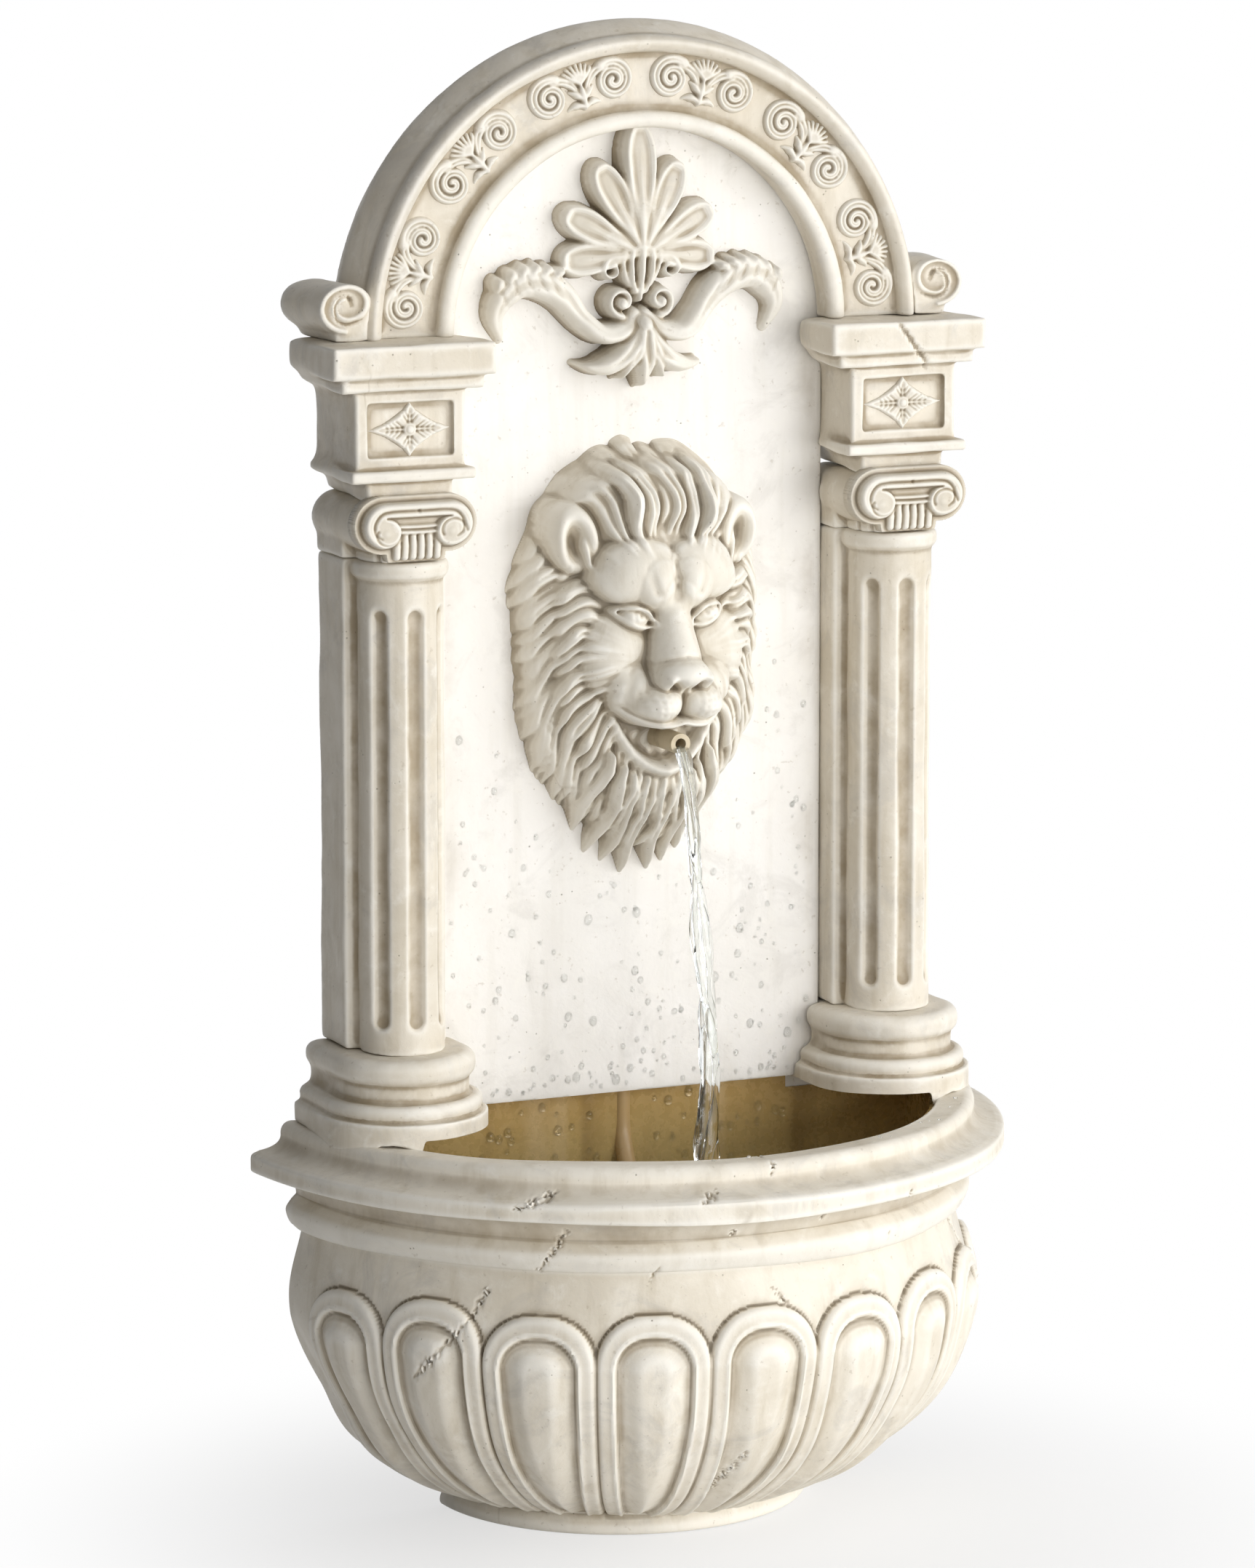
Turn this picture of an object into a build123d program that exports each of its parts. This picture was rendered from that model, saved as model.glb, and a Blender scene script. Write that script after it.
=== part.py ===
"""Half-round wall fountain: cast basin, columned back with an arch and a lion mask, and a small pump."""
import os
from math import cos, radians, sin

from build123d import *

# Heights and reaches are in millimetres; a reach is measured forward from the wall.

# Overall
RIM_RADIUS = 210.0
WALL_Y = RIM_RADIUS / 2
FIT = 0.3
SNUG = 0.1

# Basin bowl, half round about the wall line
FOOT_RADIUS = 102.0
FOOT_HEIGHT = 13.0
BOWL_FLARE = 4.0
BOWL_RADIUS = 190.0
BELLY_HEIGHT = 114.0
NECK_RADIUS = 181.0
NECK_HEIGHT = 164.0
BASIN_BACK = 8.0
BASIN_FLOOR = 26.0

# Basin rim: roll, hollow, edge and lip
ROLL_OUT = 9.0
ROLL_HEIGHT = 17.0
HOLLOW_OUT = 16.0
HOLLOW_HEIGHT = 12.0
EDGE_HEIGHT = 14.0
EDGE_BACK = 5.0
LIP_WIDTH = 19.0
LIP_RISE = 9.0
SLOPE_RISE = 3.0
LIP_DROP = 5.0

# Gadroon lobes round the bowl
LOBE_COUNT = 9
LOBE_STEP = 18.0
LOBE_TOP = 147.0
LOBE_BOTTOM = 18.0
LOBE_WIDTH = 55.0
LOBE_FOOT_WIDTH = 29.0
LOBE_BORDER = 8.0
LOBE_GROOVE = 3.0
LOBE_RISE = 7.0
LOBE_SWELL = 9.5
LOBE_ROOT = 4.0

# Opening and liner
CAVITY_RADIUS = 172.0
CAVITY_BEND = 100.0
CAVITY_FLOOR_RADIUS = 100.0
LINER_WALL = 2.5

# Back panel
PANEL_WIDTH = 224.0
PANEL_DEPTH = 20.0
PANEL_BOTTOM = 222.0
ARCH_HEIGHT = 633.5
POCKET_WIDTH = 110.0
POCKET_BOTTOM = 240.0
POCKET_TOP = 470.0
POCKET_DEPTH = 14.0
MASK_WINDOW = 24.0

# Rear cover
COVER_THICK = 2.0
COVER_LEDGE = 7.0
SCREW_RADIUS = 1.5
SCREW_HEAD_RADIUS = 2.8
SCREW_HEAD_HEIGHT = 1.5
SCREW_LENGTH = 11.0
GROMMET_X = 35.0
GROMMET_RISE = 22.0
GROMMET_RADIUS = 5.8
GROMMET_FLANGE = 8.0
GROMMET_BORE = 3.0

# Archivolt
ARCH_INNER = 112.0
ARCH_OUTER = 166.5
ARCH_OVERHANG = 3.0
INNER_ROLL_WIDTH = 8.5
INNER_ROLL_REACH = 40.0
BAND_REACH = 33.0
BAND_OUTER = 145.0
OUTER_ROLL_WIDTH = 12.0
OUTER_ROLL_REACH = 42.0
FLANK_SWELL = 2.5

# Scroll motifs in the arch band
MOTIF_COUNT = 6
MOTIF_RADIUS = 130.5
MOTIF_SPREAD = 14.0
MOTIF_SCROLL = 10.6
MOTIF_STEP = 2.9
MOTIF_LINE = 2.6
MOTIF_RISE = 4.0
MOTIF_FAN = 11.0
MOTIF_TILTS = (48, 69, 90, 111, 132, -45, -135)

# Columns and pilasters
PILASTER_OUTER = 170.0
PILASTER_REACH = 35.0
COLUMN_RADIUS = 22.5
COLUMN_REACH = 42.0
BASE_TOP = 262.0
RING_BOTTOM = 512.0
RING_HEIGHT = 9.0
RING_RADIUS = 25.5
RING_ROUND = 3.0
FLUTE_RADIUS = 5.0
FLUTE_DEPTH = 4.0
FLUTE_ANGLE = 51.0
FLUTE_BOTTOM = 275.0
FLUTE_TOP = 497.0

# Column base courses, from the rim up
PLINTH_BOTTOM = 214.0
PLINTH_TOP = 230.0
PLINTH_REACH = 45.0
LOWER_ROLL_TOP = 239.0
LOWER_ROLL_REACH = 42.0
SCOTIA_TOP = 248.0
SCOTIA_REACH = 35.0
UPPER_ROLL_REACH = 38.5
COURSE_ROUND = 4.0
DOWEL_RADIUS = 3.0
DOWEL_LENGTH = 36.0
DOWEL_MIDDLE = 217.0
DOWEL_PLACES = ((177.0, 20.0), (172.0, 58.0))

# Scroll capital
CAPITAL_TOP = 553.0
CAPITAL_REACH = 63.5
SCROLL_RADIUS = 13.3
SCROLL_SPREAD = 18.7
SCROLL_STEP = 3.4
SCROLL_LINE = 2.6
SCROLL_RISE = 2.5
NECK_FLUTES = 7
NECK_FLUTE_RADIUS = 1.6

# Entablature courses
ABACUS_HALF = 24.0
ABACUS_REACH = 58.0
LIP_BOTTOM = 563.0
LIP_HALF = 34.8
LIP_REACH = 64.4
FRIEZE_BOTTOM = 569.0
FRIEZE_HALF = 30.5
FRIEZE_REACH = 59.0
BED_BOTTOM = 610.0
BED_HALF = 39.2
BED_REACH = 63.7
CORNICE_BOTTOM = 617.0
CORNICE_HALF = 45.0
CORNICE_REACH = 66.7
COURSE_EDGE = 1.5
SUNK_WIDTH = 48.0
SUNK_HEIGHT = 28.0
SUNK_DEPTH = 3.0
STAR_WIDTH = 38.0
STAR_HEIGHT = 22.0
STAR_WAIST = 5.0
STAR_RISE = 2.5
STAR_BOSS = 4.0

# Scrolls beside the arch
ACRO_X = 168.0
ACRO_HEIGHT = 654.0
ACRO_RADIUS = 15.0
ACRO_REACH = 40.0
ACRO_WEB = 12.0

# Palmette crest
CREST_BASE = 676.0
CREST_LEAVES = ((0.0, 65.0, 22.0), (26.0, 50.0, 19.0), (60.0, 48.0, 19.0), (92.0, 44.0, 18.0))
CREST_STEM = 5.0
CREST_WAIST = 640.0
CREST_WAIST_WIDTH = 17.0
PENDANT_LEAVES = ((180.0, 37.0, 20.0), (132.0, 40.0, 16.0))
ARM_RADIUS = 7.0
ARM_START_X = 3.0
ARM_TILT = 55.0
ARM_DIP_RADIUS = 24.0
ARM_RISE_LENGTH = 14.0
ARM_CURL_RADIUS = 17.0
ARM_CURL_SWEEP = 150.0
ARM_TIP_LENGTH = 8.0
CURL_RADIUS = 8.0
CURL_RISE = 9.0
CURL_PLACES = ((9.5, 651.0), (12.5, 666.0))

# Lion mask
MASK_HEIGHT = 460.0
MANE_DOME = ((20.0, 460.0, 58.0, 92.0), (36.0, 460.0, 57.0, 88.0), (48.0, 466.0, 50.0, 76.0),
             (56.0, 472.0, 43.0, 63.0))
FACE_DOME = ((44.0, 478.0, 45.0, 60.0), (60.0, 482.0, 41.0, 52.0), (71.0, 486.0, 32.0, 38.0),
             (77.0, 488.0, 18.0, 22.0))
MUZZLE_DOME = ((56.0, 447.0, 31.0, 30.0), (78.0, 445.0, 27.0, 22.0), (89.0, 445.0, 21.0, 16.0),
               (94.0, 446.0, 13.0, 10.0))
NOSE_DOME = ((82.0, 457.0, 13.0, 9.0), (97.0, 454.0, 10.0, 6.0))
JAW_DOME = ((40.0, 398.0, 26.0, 24.0), (62.0, 401.0, 19.0, 13.0), (70.0, 402.0, 11.0, 8.0))
BROW_RADIUS = 13.0
BROW_PLACE = (18.0, 69.0, 500.0)
EYE_RADIUS = 6.0
EYE_PLACE = (20.0, 71.0, 484.0)
EAR_RADIUS = 15.0
EAR_HOLLOW = 9.0
EAR_PLACE = (47.0, 42.0, 526.0)
EAR_HOLLOW_SHIFT = 9.0
LOCK_COUNT = 22
LOCK_LENGTH = 56.0
LOCK_WIDTH = 25.0
LOCK_STEM = 14.0
LOCK_HALF_WIDTH = 24.0
LOCK_HALF_HEIGHT = 59.0
LOCK_LEAN = 14.0
INNER_LOCK_COUNT = 16
INNER_LOCK_LENGTH = 42.0
INNER_LOCK_WIDTH = 21.0
INNER_LOCK_REACH = 38.0
INNER_LOCK_HALF_WIDTH = 22.0
INNER_LOCK_HALF_HEIGHT = 44.0
MASK_CAVITY_DEPTH = 32.0

# Spout and hose
SPOUT_HEIGHT = 420.0
SPOUT_RADIUS = 5.5
SPOUT_BORE = 3.0
SPOUT_SHOULDER = 50.0
SPOUT_FRONT = 84.0
HOSE_RADIUS = 5.0
HOSE_BORE = 3.5
HOSE_REACH = 7.5
BARB_LENGTH = 12.0
BARB_BORE = 2.4
HOSE_FOOT_BEND = 118.0
HOSE_WALL_BEND = 192.0
HOSE_LOWER_RADIUS = 45.0
HOSE_TOP_RADIUS = 28.0
NOTCH_BOTTOM = 160.0
CLAMP_WALL = 1.2
CLAMP_WIDTH = 5.0
CLAMP_LUG = 5.0

# Pump
PUMP_BACK = 18.0
PUMP_WIDTH = 44.0
PUMP_HEIGHT = 40.0
PUMP_DEPTH = 38.0
PUMP_ROUND = 5.0
PUMP_WALL = 2.0
FOOT_LIFT = 6.0
CUP_RADIUS = 7.0
CUP_STEM = 2.0
CUP_STEM_LENGTH = 4.0
CUP_SPREAD_X = 28.0
CUP_SPREAD_Y = 22.0
WELL_RADIUS = 9.0
WELL_DEPTH = 30.0
ROTOR_RADIUS = 8.2
ROTOR_DISC = 12.0
ROTOR_DISC_THICK = 1.5
BLADE_COUNT = 4
BLADE_THICK = 1.5
BLADE_HEIGHT = 4.5
SHAFT_RADIUS = 1.1
RUN_CLEARANCE = 0.06
BUSH_RADIUS = 3.0
BUSH_LENGTH = 4.0
CHAMBER_WIDTH = 34.0
CHAMBER_RADIUS = 14.0
CHAMBER_DEPTH = 12.0
CHAMBER_HUB = 4.5
INLET_COUNT = 6
INLET_RADIUS = 1.8
INLET_PITCH = 7.5
NOZZLE_RISE = 14.0
STRAINER_DEPTH = 24.0
STRAINER_SLOTS = 3
SLOT_PITCH = 4.0
SLOT_WIDTH = 2.0
SLOT_HEIGHT = 26.0
SLOT_SIDE = 15.0
DIAL_RADIUS = 9.0
DIAL_THICK = 4.0
DIAL_PIN = 2.0
DIAL_HEAD = 3.4
POINTER_WIDTH = 2.4
GLAND_RADIUS = 4.0
GLAND_FLANGE = 5.5
GLAND_DEPTH = 8.0
GLAND_LENGTH = 5.5
GLAND_BORE = 2.6
GLAND_X = 12.0

# Wall hangers
HANGER_HEIGHT = 590.0
HANGER_WIDTH = 44.0
HANGER_TALL = 26.0
HANGER_THICK = 2.0
HANGER_POCKET_WIDTH = 22.0
HANGER_POCKET_TALL = 20.0
HANGER_POCKET_DEPTH = 12.0
KEYHOLE_HEAD = 4.6
KEYHOLE_SLOT = 2.6
KEYHOLE_RISE = 9.0
HANGER_SCREW_X = 17.0

# Worked out from the sizes above
PANEL_HALF = PANEL_WIDTH / 2
COLUMN_X = (PANEL_HALF + PILASTER_OUTER) / 2
PILASTER_WIDTH = PILASTER_OUTER - PANEL_HALF
RING_TOP = RING_BOTTOM + RING_HEIGHT
SCROLL_HEIGHT = CAPITAL_TOP - SCROLL_RADIUS
ROLL_TOP = NECK_HEIGHT + ROLL_HEIGHT
HOLLOW_TOP = ROLL_TOP + HOLLOW_HEIGHT
EDGE_TOP = HOLLOW_TOP + EDGE_HEIGHT
LIP_FOOT = EDGE_TOP + SLOPE_RISE
LIP_TOP = LIP_FOOT + LIP_RISE
OPENING_TOP = LIP_TOP - LIP_DROP
LINER_TOP = min(OPENING_TOP, PLINTH_BOTTOM) - FIT
PUMP_BOTTOM = BASIN_FLOOR + LINER_WALL + FOOT_LIFT
PUMP_TOP = PUMP_BOTTOM + PUMP_HEIGHT
PUMP_FRONT = PUMP_BACK + PUMP_DEPTH
PUMP_AXIS = PUMP_BOTTOM + PUMP_HEIGHT / 2
CHAMBER_FRONT = PUMP_FRONT + CHAMBER_DEPTH
NOZZLE_REACH = PUMP_FRONT + CHAMBER_DEPTH / 2
STRAINER_FRONT = PUMP_FRONT + STRAINER_DEPTH
NOZZLE_TOP = PUMP_TOP + NOZZLE_RISE
BARB_RADIUS = HOSE_BORE - SNUG / 2
WALL_AXIS = Axis((0, WALL_Y, 0), (0, 0, -1))

os.makedirs("parts", exist_ok=True)


def wall_plane(reach, x=0.0, z=0.0, turn=0.0):
    """A plane that faces forward at this reach, with its up direction turned to the left."""
    across = (cos(radians(turn)), 0, sin(radians(turn)))
    return Plane(origin=(x, WALL_Y - reach, z), x_dir=across, z_dir=(0, -1, 0))


def save(builder, name):
    """Label one finished piece and write its file."""
    builder.part.label = name
    export_step(builder.part, f"parts/{name}.step")


def bowl_solid(extra):
    """Half bowl from foot to neck, with its outside moved out by extra."""
    with BuildPart() as bowl:
        with BuildSketch(wall_plane(0)):
            with BuildLine():
                belly = (BOWL_RADIUS + extra, BELLY_HEIGHT)
                low = (FOOT_RADIUS + BOWL_FLARE + extra, FOOT_HEIGHT)
                high = (NECK_RADIUS + extra, NECK_HEIGHT)
                TangentArc(belly, low, tangent=(0, -1))
                TangentArc(belly, high, tangent=(0, 1))
                Polyline(high, (0, NECK_HEIGHT), (0, FOOT_HEIGHT), low)
            make_face()
        revolve(axis=WALL_AXIS, revolution_arc=180)
    return bowl.part


def rim_solid():
    """Half rim: roll, hollow, rounded edge and lip above the bowl's neck."""
    roll_end = NECK_RADIUS + ROLL_OUT / 2
    hollow_end = roll_end + HOLLOW_OUT
    lip_out = CAVITY_RADIUS + LIP_WIDTH
    with BuildPart() as rim:
        with BuildSketch(wall_plane(0)):
            with BuildLine():
                Line((0, NECK_HEIGHT), (NECK_RADIUS, NECK_HEIGHT))
                ThreePointArc((NECK_RADIUS, NECK_HEIGHT),
                              (NECK_RADIUS + ROLL_OUT, NECK_HEIGHT + ROLL_HEIGHT / 2), (roll_end, ROLL_TOP))
                TangentArc((hollow_end, HOLLOW_TOP), (roll_end, ROLL_TOP), tangent=(-1, 0))
                ThreePointArc((hollow_end, HOLLOW_TOP),
                              (RIM_RADIUS, HOLLOW_TOP + EDGE_HEIGHT / 2), (RIM_RADIUS - EDGE_BACK, EDGE_TOP))
                Line((RIM_RADIUS - EDGE_BACK, EDGE_TOP), (lip_out, LIP_FOOT))
                ThreePointArc((lip_out, LIP_FOOT),
                              (CAVITY_RADIUS + LIP_WIDTH / 2, LIP_TOP), (CAVITY_RADIUS, OPENING_TOP))
                Polyline((CAVITY_RADIUS, OPENING_TOP), (0, OPENING_TOP), (0, NECK_HEIGHT))
            make_face()
        revolve(axis=WALL_AXIS, revolution_arc=180)
    return rim.part


def tub_solid(inset, back, floor, top):
    """Half tub shape, drawn in from the opening by inset and cut flat at the back."""
    with BuildPart() as tub:
        with BuildSketch(wall_plane(0)):
            with BuildLine():
                side = CAVITY_RADIUS - inset
                low = (CAVITY_FLOOR_RADIUS - inset, floor)
                Line((side, top), (side, CAVITY_BEND))
                TangentArc((side, CAVITY_BEND), low, tangent=(0, -1))
                Polyline(low, (0, floor), (0, top), (side, top))
            make_face()
        revolve(axis=WALL_AXIS, revolution_arc=180)
        split(bisect_by=wall_plane(back), keep=Keep.TOP)
    return tub.part


def lobe_prism(margin):
    """Upright tongue shape, drawn in by margin, pushed straight out from the wall line."""
    half = LOBE_WIDTH / 2 - margin
    foot = LOBE_FOOT_WIDTH / 2 - margin
    shoulder = LOBE_TOP - margin - half
    bottom = LOBE_BOTTOM
    with BuildPart() as prism:
        with BuildSketch(wall_plane(0)):
            with BuildLine():
                Polyline((-half, shoulder), (-foot, bottom), (foot, bottom), (half, shoulder))
                ThreePointArc((half, shoulder), (0, shoulder + half), (-half, shoulder))
            make_face()
        extrude(amount=RIM_RADIUS + LOBE_SWELL)
    return prism.part


def lobe_pad(margin, hole_margin, rise):
    """One raised tongue on the bowl, or its border where a hole margin is given."""
    outline = lobe_prism(margin)
    shell = bowl_solid(rise)
    core = bowl_solid(-LOBE_ROOT)
    hole = lobe_prism(hole_margin) if hole_margin else None
    with BuildPart() as pad:
        add(outline)
        add(shell, mode=Mode.INTERSECT)
        add(core, mode=Mode.SUBTRACT)
        if hole:
            add(hole, mode=Mode.SUBTRACT)
    return pad.part


def leaf(plane, length, width, stem):
    """Half-round leaf that lies on a plane, from its stem at the plane's origin to its tip."""
    with BuildPart() as blade:
        with BuildSketch(plane):
            with BuildLine():
                Line((0, 0), (stem / 2, 0))
                Spline((stem / 2, 0), (width / 2, length * 0.68), (0, length), tangents=((0.1, 1), (-1, 0)))
                Line((0, length), (0, 0))
            make_face()
        revolve(axis=Axis(plane.origin, plane.y_dir), revolution_arc=360)
        split(bisect_by=plane, keep=Keep.TOP)
    return blade.part


def lock(plane, length, width, stem):
    """Half-round pointed lock of hair that lies on a plane."""
    with BuildPart() as curl:
        with BuildSketch(plane):
            with BuildLine():
                Line((0, 0), (stem / 2, 0))
                ThreePointArc((stem / 2, 0), (width / 2, length / 2), (0, length))
                Line((0, length), (0, 0))
            make_face()
        revolve(axis=Axis(plane.origin, plane.y_dir), revolution_arc=360)
        split(bisect_by=plane, keep=Keep.TOP)
    return curl.part


def dome(sections):
    """Rounded mass lofted through ovals, each with its reach, height and half sizes."""
    with BuildPart() as mass:
        for reach, height, half_width, half_height in sections:
            with BuildSketch(wall_plane(reach)):
                with Locations((0, height)):
                    Ellipse(half_width, half_height)
        loft()
    return mass.part


def spiral_arcs(centre, radius, step, halves, angle, hand):
    """Draw half circles that wind inwards, each smaller than the last by step."""
    x, z = centre
    for _ in range(halves):
        CenterArc((x, z), radius, angle, 180 * hand)
        angle += 180 * hand
        x += step * cos(radians(angle))
        z += step * sin(radians(angle))
        radius -= step


def block(half, reach, bottom, top):
    """One straight course over a column, from the wall to its reach, with eased front edges."""
    with BuildPart() as course:
        with BuildSketch(Plane.XY.offset(bottom)):
            with Locations((COLUMN_X, WALL_Y - reach / 2)):
                Rectangle(2 * half, reach)
        extrude(amount=top - bottom)
        front = course.faces().sort_by(Axis.Y)[0]
        fillet(front.edges(), min(COURSE_EDGE, (top - bottom) / 3))
    return course.part


def base_course(reach, bottom, top, rounding):
    """One course of the column base: round in front, straight back to the wall."""
    with BuildPart() as course:
        with BuildSketch(Plane.XY.offset(bottom)):
            with Locations((COLUMN_X, WALL_Y - COLUMN_REACH)):
                Circle(reach)
            with Locations((COLUMN_X, WALL_Y - COLUMN_REACH / 2)):
                Rectangle(2 * reach, COLUMN_REACH)
        extrude(amount=top - bottom)
        split(bisect_by=wall_plane(0), keep=Keep.TOP)
        if rounding:
            rims = course.edges().filter_by(Plane.XY).filter_by(lambda e: e.center().Y < WALL_Y - SNUG)
            fillet(rims, min(rounding, (top - bottom) * 0.45))
    return course.part


def countersunk_screw(x, z, reach, length):
    """Screw that goes in from the back, with its head at this reach."""
    with BuildPart() as screw:
        with BuildSketch(wall_plane(reach)):
            with Locations((x, z)):
                Circle(SCREW_RADIUS)
        extrude(amount=length)
        with BuildSketch(wall_plane(reach)):
            with Locations((x, z)):
                Circle(SCREW_HEAD_RADIUS)
        with BuildSketch(wall_plane(reach + SCREW_HEAD_HEIGHT)):
            with Locations((x, z)):
                Circle(SCREW_RADIUS)
        loft()
    return screw.part


def rod(x, z, radius, start, end):
    """Round bar along the depth, between two reaches."""
    with BuildPart() as bar:
        with BuildSketch(wall_plane(start)):
            with Locations((x, z)):
                Circle(radius)
        extrude(amount=end - start)
    return bar.part


# Basin shell: bowl, foot, lobes and rim in one casting
bowl_body = bowl_solid(0)
rim_body = rim_solid()
lobe_border = lobe_pad(0, LOBE_BORDER, LOBE_RISE)
lobe_middle = lobe_pad(LOBE_BORDER + LOBE_GROOVE, 0, LOBE_SWELL)
cavity = tub_solid(0, BASIN_BACK, BASIN_FLOOR, LIP_TOP + LIP_RISE)
with BuildPart() as back_wall:
    with BuildSketch(wall_plane(0)):
        with Locations((0, (NECK_HEIGHT + PANEL_BOTTOM) / 2)):
            Rectangle(2 * CAVITY_RADIUS, PANEL_BOTTOM - NECK_HEIGHT)
    extrude(amount=BASIN_BACK)
with BuildPart() as basin_shell:
    with BuildSketch():
        with Locations((0, WALL_Y)):
            Circle(FOOT_RADIUS)
        with Locations((0, WALL_Y + FOOT_RADIUS)):
            Rectangle(2 * FOOT_RADIUS, 2 * FOOT_RADIUS, mode=Mode.SUBTRACT)
    extrude(amount=FOOT_HEIGHT)
    add(bowl_body)
    add(rim_body)
    for number in range(LOBE_COUNT):
        turn = (number - (LOBE_COUNT - 1) / 2) * LOBE_STEP
        add(lobe_border.rotate(WALL_AXIS, turn))
        add(lobe_middle.rotate(WALL_AXIS, turn))
    add(cavity, mode=Mode.SUBTRACT)
    add(back_wall.part)
    with Locations((0, WALL_Y - HOSE_REACH, (NOTCH_BOTTOM + PANEL_BOTTOM) / 2)):
        Cylinder(HOSE_RADIUS + FIT, PANEL_BOTTOM - NOTCH_BOTTOM + 2 * FIT, mode=Mode.SUBTRACT)
    for side in (-1, 1):
        for x, reach in DOWEL_PLACES:
            with Locations((side * x, WALL_Y - reach, DOWEL_MIDDLE)):
                Cylinder(DOWEL_RADIUS, DOWEL_LENGTH, mode=Mode.SUBTRACT)
save(basin_shell, "basin_shell")

# Basin liner: thin tub that holds the water
liner_outside = tub_solid(FIT, BASIN_BACK + FIT, BASIN_FLOOR, LINER_TOP)
liner_inside = tub_solid(FIT + LINER_WALL, BASIN_BACK + FIT + LINER_WALL, BASIN_FLOOR + LINER_WALL, LIP_TOP)
with BuildPart() as basin_liner:
    add(liner_outside)
    add(liner_inside, mode=Mode.SUBTRACT)
    with Locations((0, WALL_Y - BASIN_BACK, (NOTCH_BOTTOM + LIP_TOP) / 2)):
        Box(2 * (HOSE_RADIUS + FIT), 4 * LINER_WALL + FIT, LIP_TOP - NOTCH_BOTTOM, mode=Mode.SUBTRACT)
save(basin_liner, "basin_liner")

# Back panel: slab with a half-round head and a shallow pocket behind
cover_half = POCKET_WIDTH / 2 + COVER_LEDGE
cover_bottom = POCKET_BOTTOM - COVER_LEDGE
cover_top = POCKET_TOP + COVER_LEDGE
cover_middle = (cover_bottom + cover_top) / 2
cover_screws = [(x, z) for x in (-cover_half + COVER_LEDGE / 2, cover_half - COVER_LEDGE / 2)
                for z in (cover_bottom + COVER_LEDGE / 2, cover_top - COVER_LEDGE / 2)]
with BuildPart() as panel_block:
    with BuildSketch(wall_plane(0)):
        with Locations((0, (PANEL_BOTTOM + ARCH_HEIGHT) / 2)):
            Rectangle(PANEL_WIDTH, ARCH_HEIGHT - PANEL_BOTTOM)
        with Locations((0, ARCH_HEIGHT)):
            Circle(ARCH_INNER)
    extrude(amount=PANEL_DEPTH)
with BuildPart() as back_panel:
    add(panel_block.part)
    with BuildSketch(wall_plane(0)):
        with Locations((0, cover_middle)):
            Rectangle(2 * cover_half, cover_top - cover_bottom)
    extrude(amount=COVER_THICK + FIT, mode=Mode.SUBTRACT)
    with BuildSketch(wall_plane(0)):
        with Locations((0, (POCKET_BOTTOM + POCKET_TOP) / 2)):
            Rectangle(POCKET_WIDTH, POCKET_TOP - POCKET_BOTTOM)
        with Locations((0, (PANEL_BOTTOM + POCKET_BOTTOM) / 2)):
            Rectangle(2 * (HOSE_RADIUS + FIT), POCKET_BOTTOM - PANEL_BOTTOM)
    extrude(amount=POCKET_DEPTH, mode=Mode.SUBTRACT)
    add(rod(0, SPOUT_HEIGHT, MASK_WINDOW, 0, PANEL_DEPTH), mode=Mode.SUBTRACT)
    for x, z in cover_screws:
        add(rod(x, z, SCREW_RADIUS, COVER_THICK, COVER_THICK + SCREW_LENGTH), mode=Mode.SUBTRACT)
save(back_panel, "back_panel")

# Rear cover, its screws and the cord grommet
grommet_z = cover_bottom + GROMMET_RISE
screw_bodies = [countersunk_screw(x, z, FIT, SCREW_LENGTH) for x, z in cover_screws]
with BuildPart() as rear_cover_screws:
    for body in screw_bodies:
        add(body)
save(rear_cover_screws, "rear_cover_screws")
with BuildPart() as rear_cover:
    with BuildSketch(wall_plane(FIT)):
        with Locations((0, cover_middle)):
            RectangleRounded(2 * (cover_half - FIT), cover_top - cover_bottom - 2 * FIT, COVER_LEDGE / 4)
    extrude(amount=COVER_THICK)
    for body in screw_bodies:
        add(body, mode=Mode.SUBTRACT)
    add(rod(GROMMET_X, grommet_z, GROMMET_RADIUS, 0, COVER_THICK + FIT), mode=Mode.SUBTRACT)
save(rear_cover, "rear_cover")
with BuildPart() as cord_grommet:
    with BuildSketch(wall_plane(FIT)):
        with Locations((GROMMET_X, grommet_z)):
            Circle(GROMMET_RADIUS)
    extrude(amount=COVER_THICK)
    with BuildSketch(wall_plane(FIT + COVER_THICK)):
        with Locations((GROMMET_X, grommet_z)):
            Circle(GROMMET_FLANGE)
    extrude(amount=COVER_THICK)
    add(rod(GROMMET_X, grommet_z, GROMMET_BORE, 0, 3 * COVER_THICK), mode=Mode.SUBTRACT)
save(cord_grommet, "cord_grommet")

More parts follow.
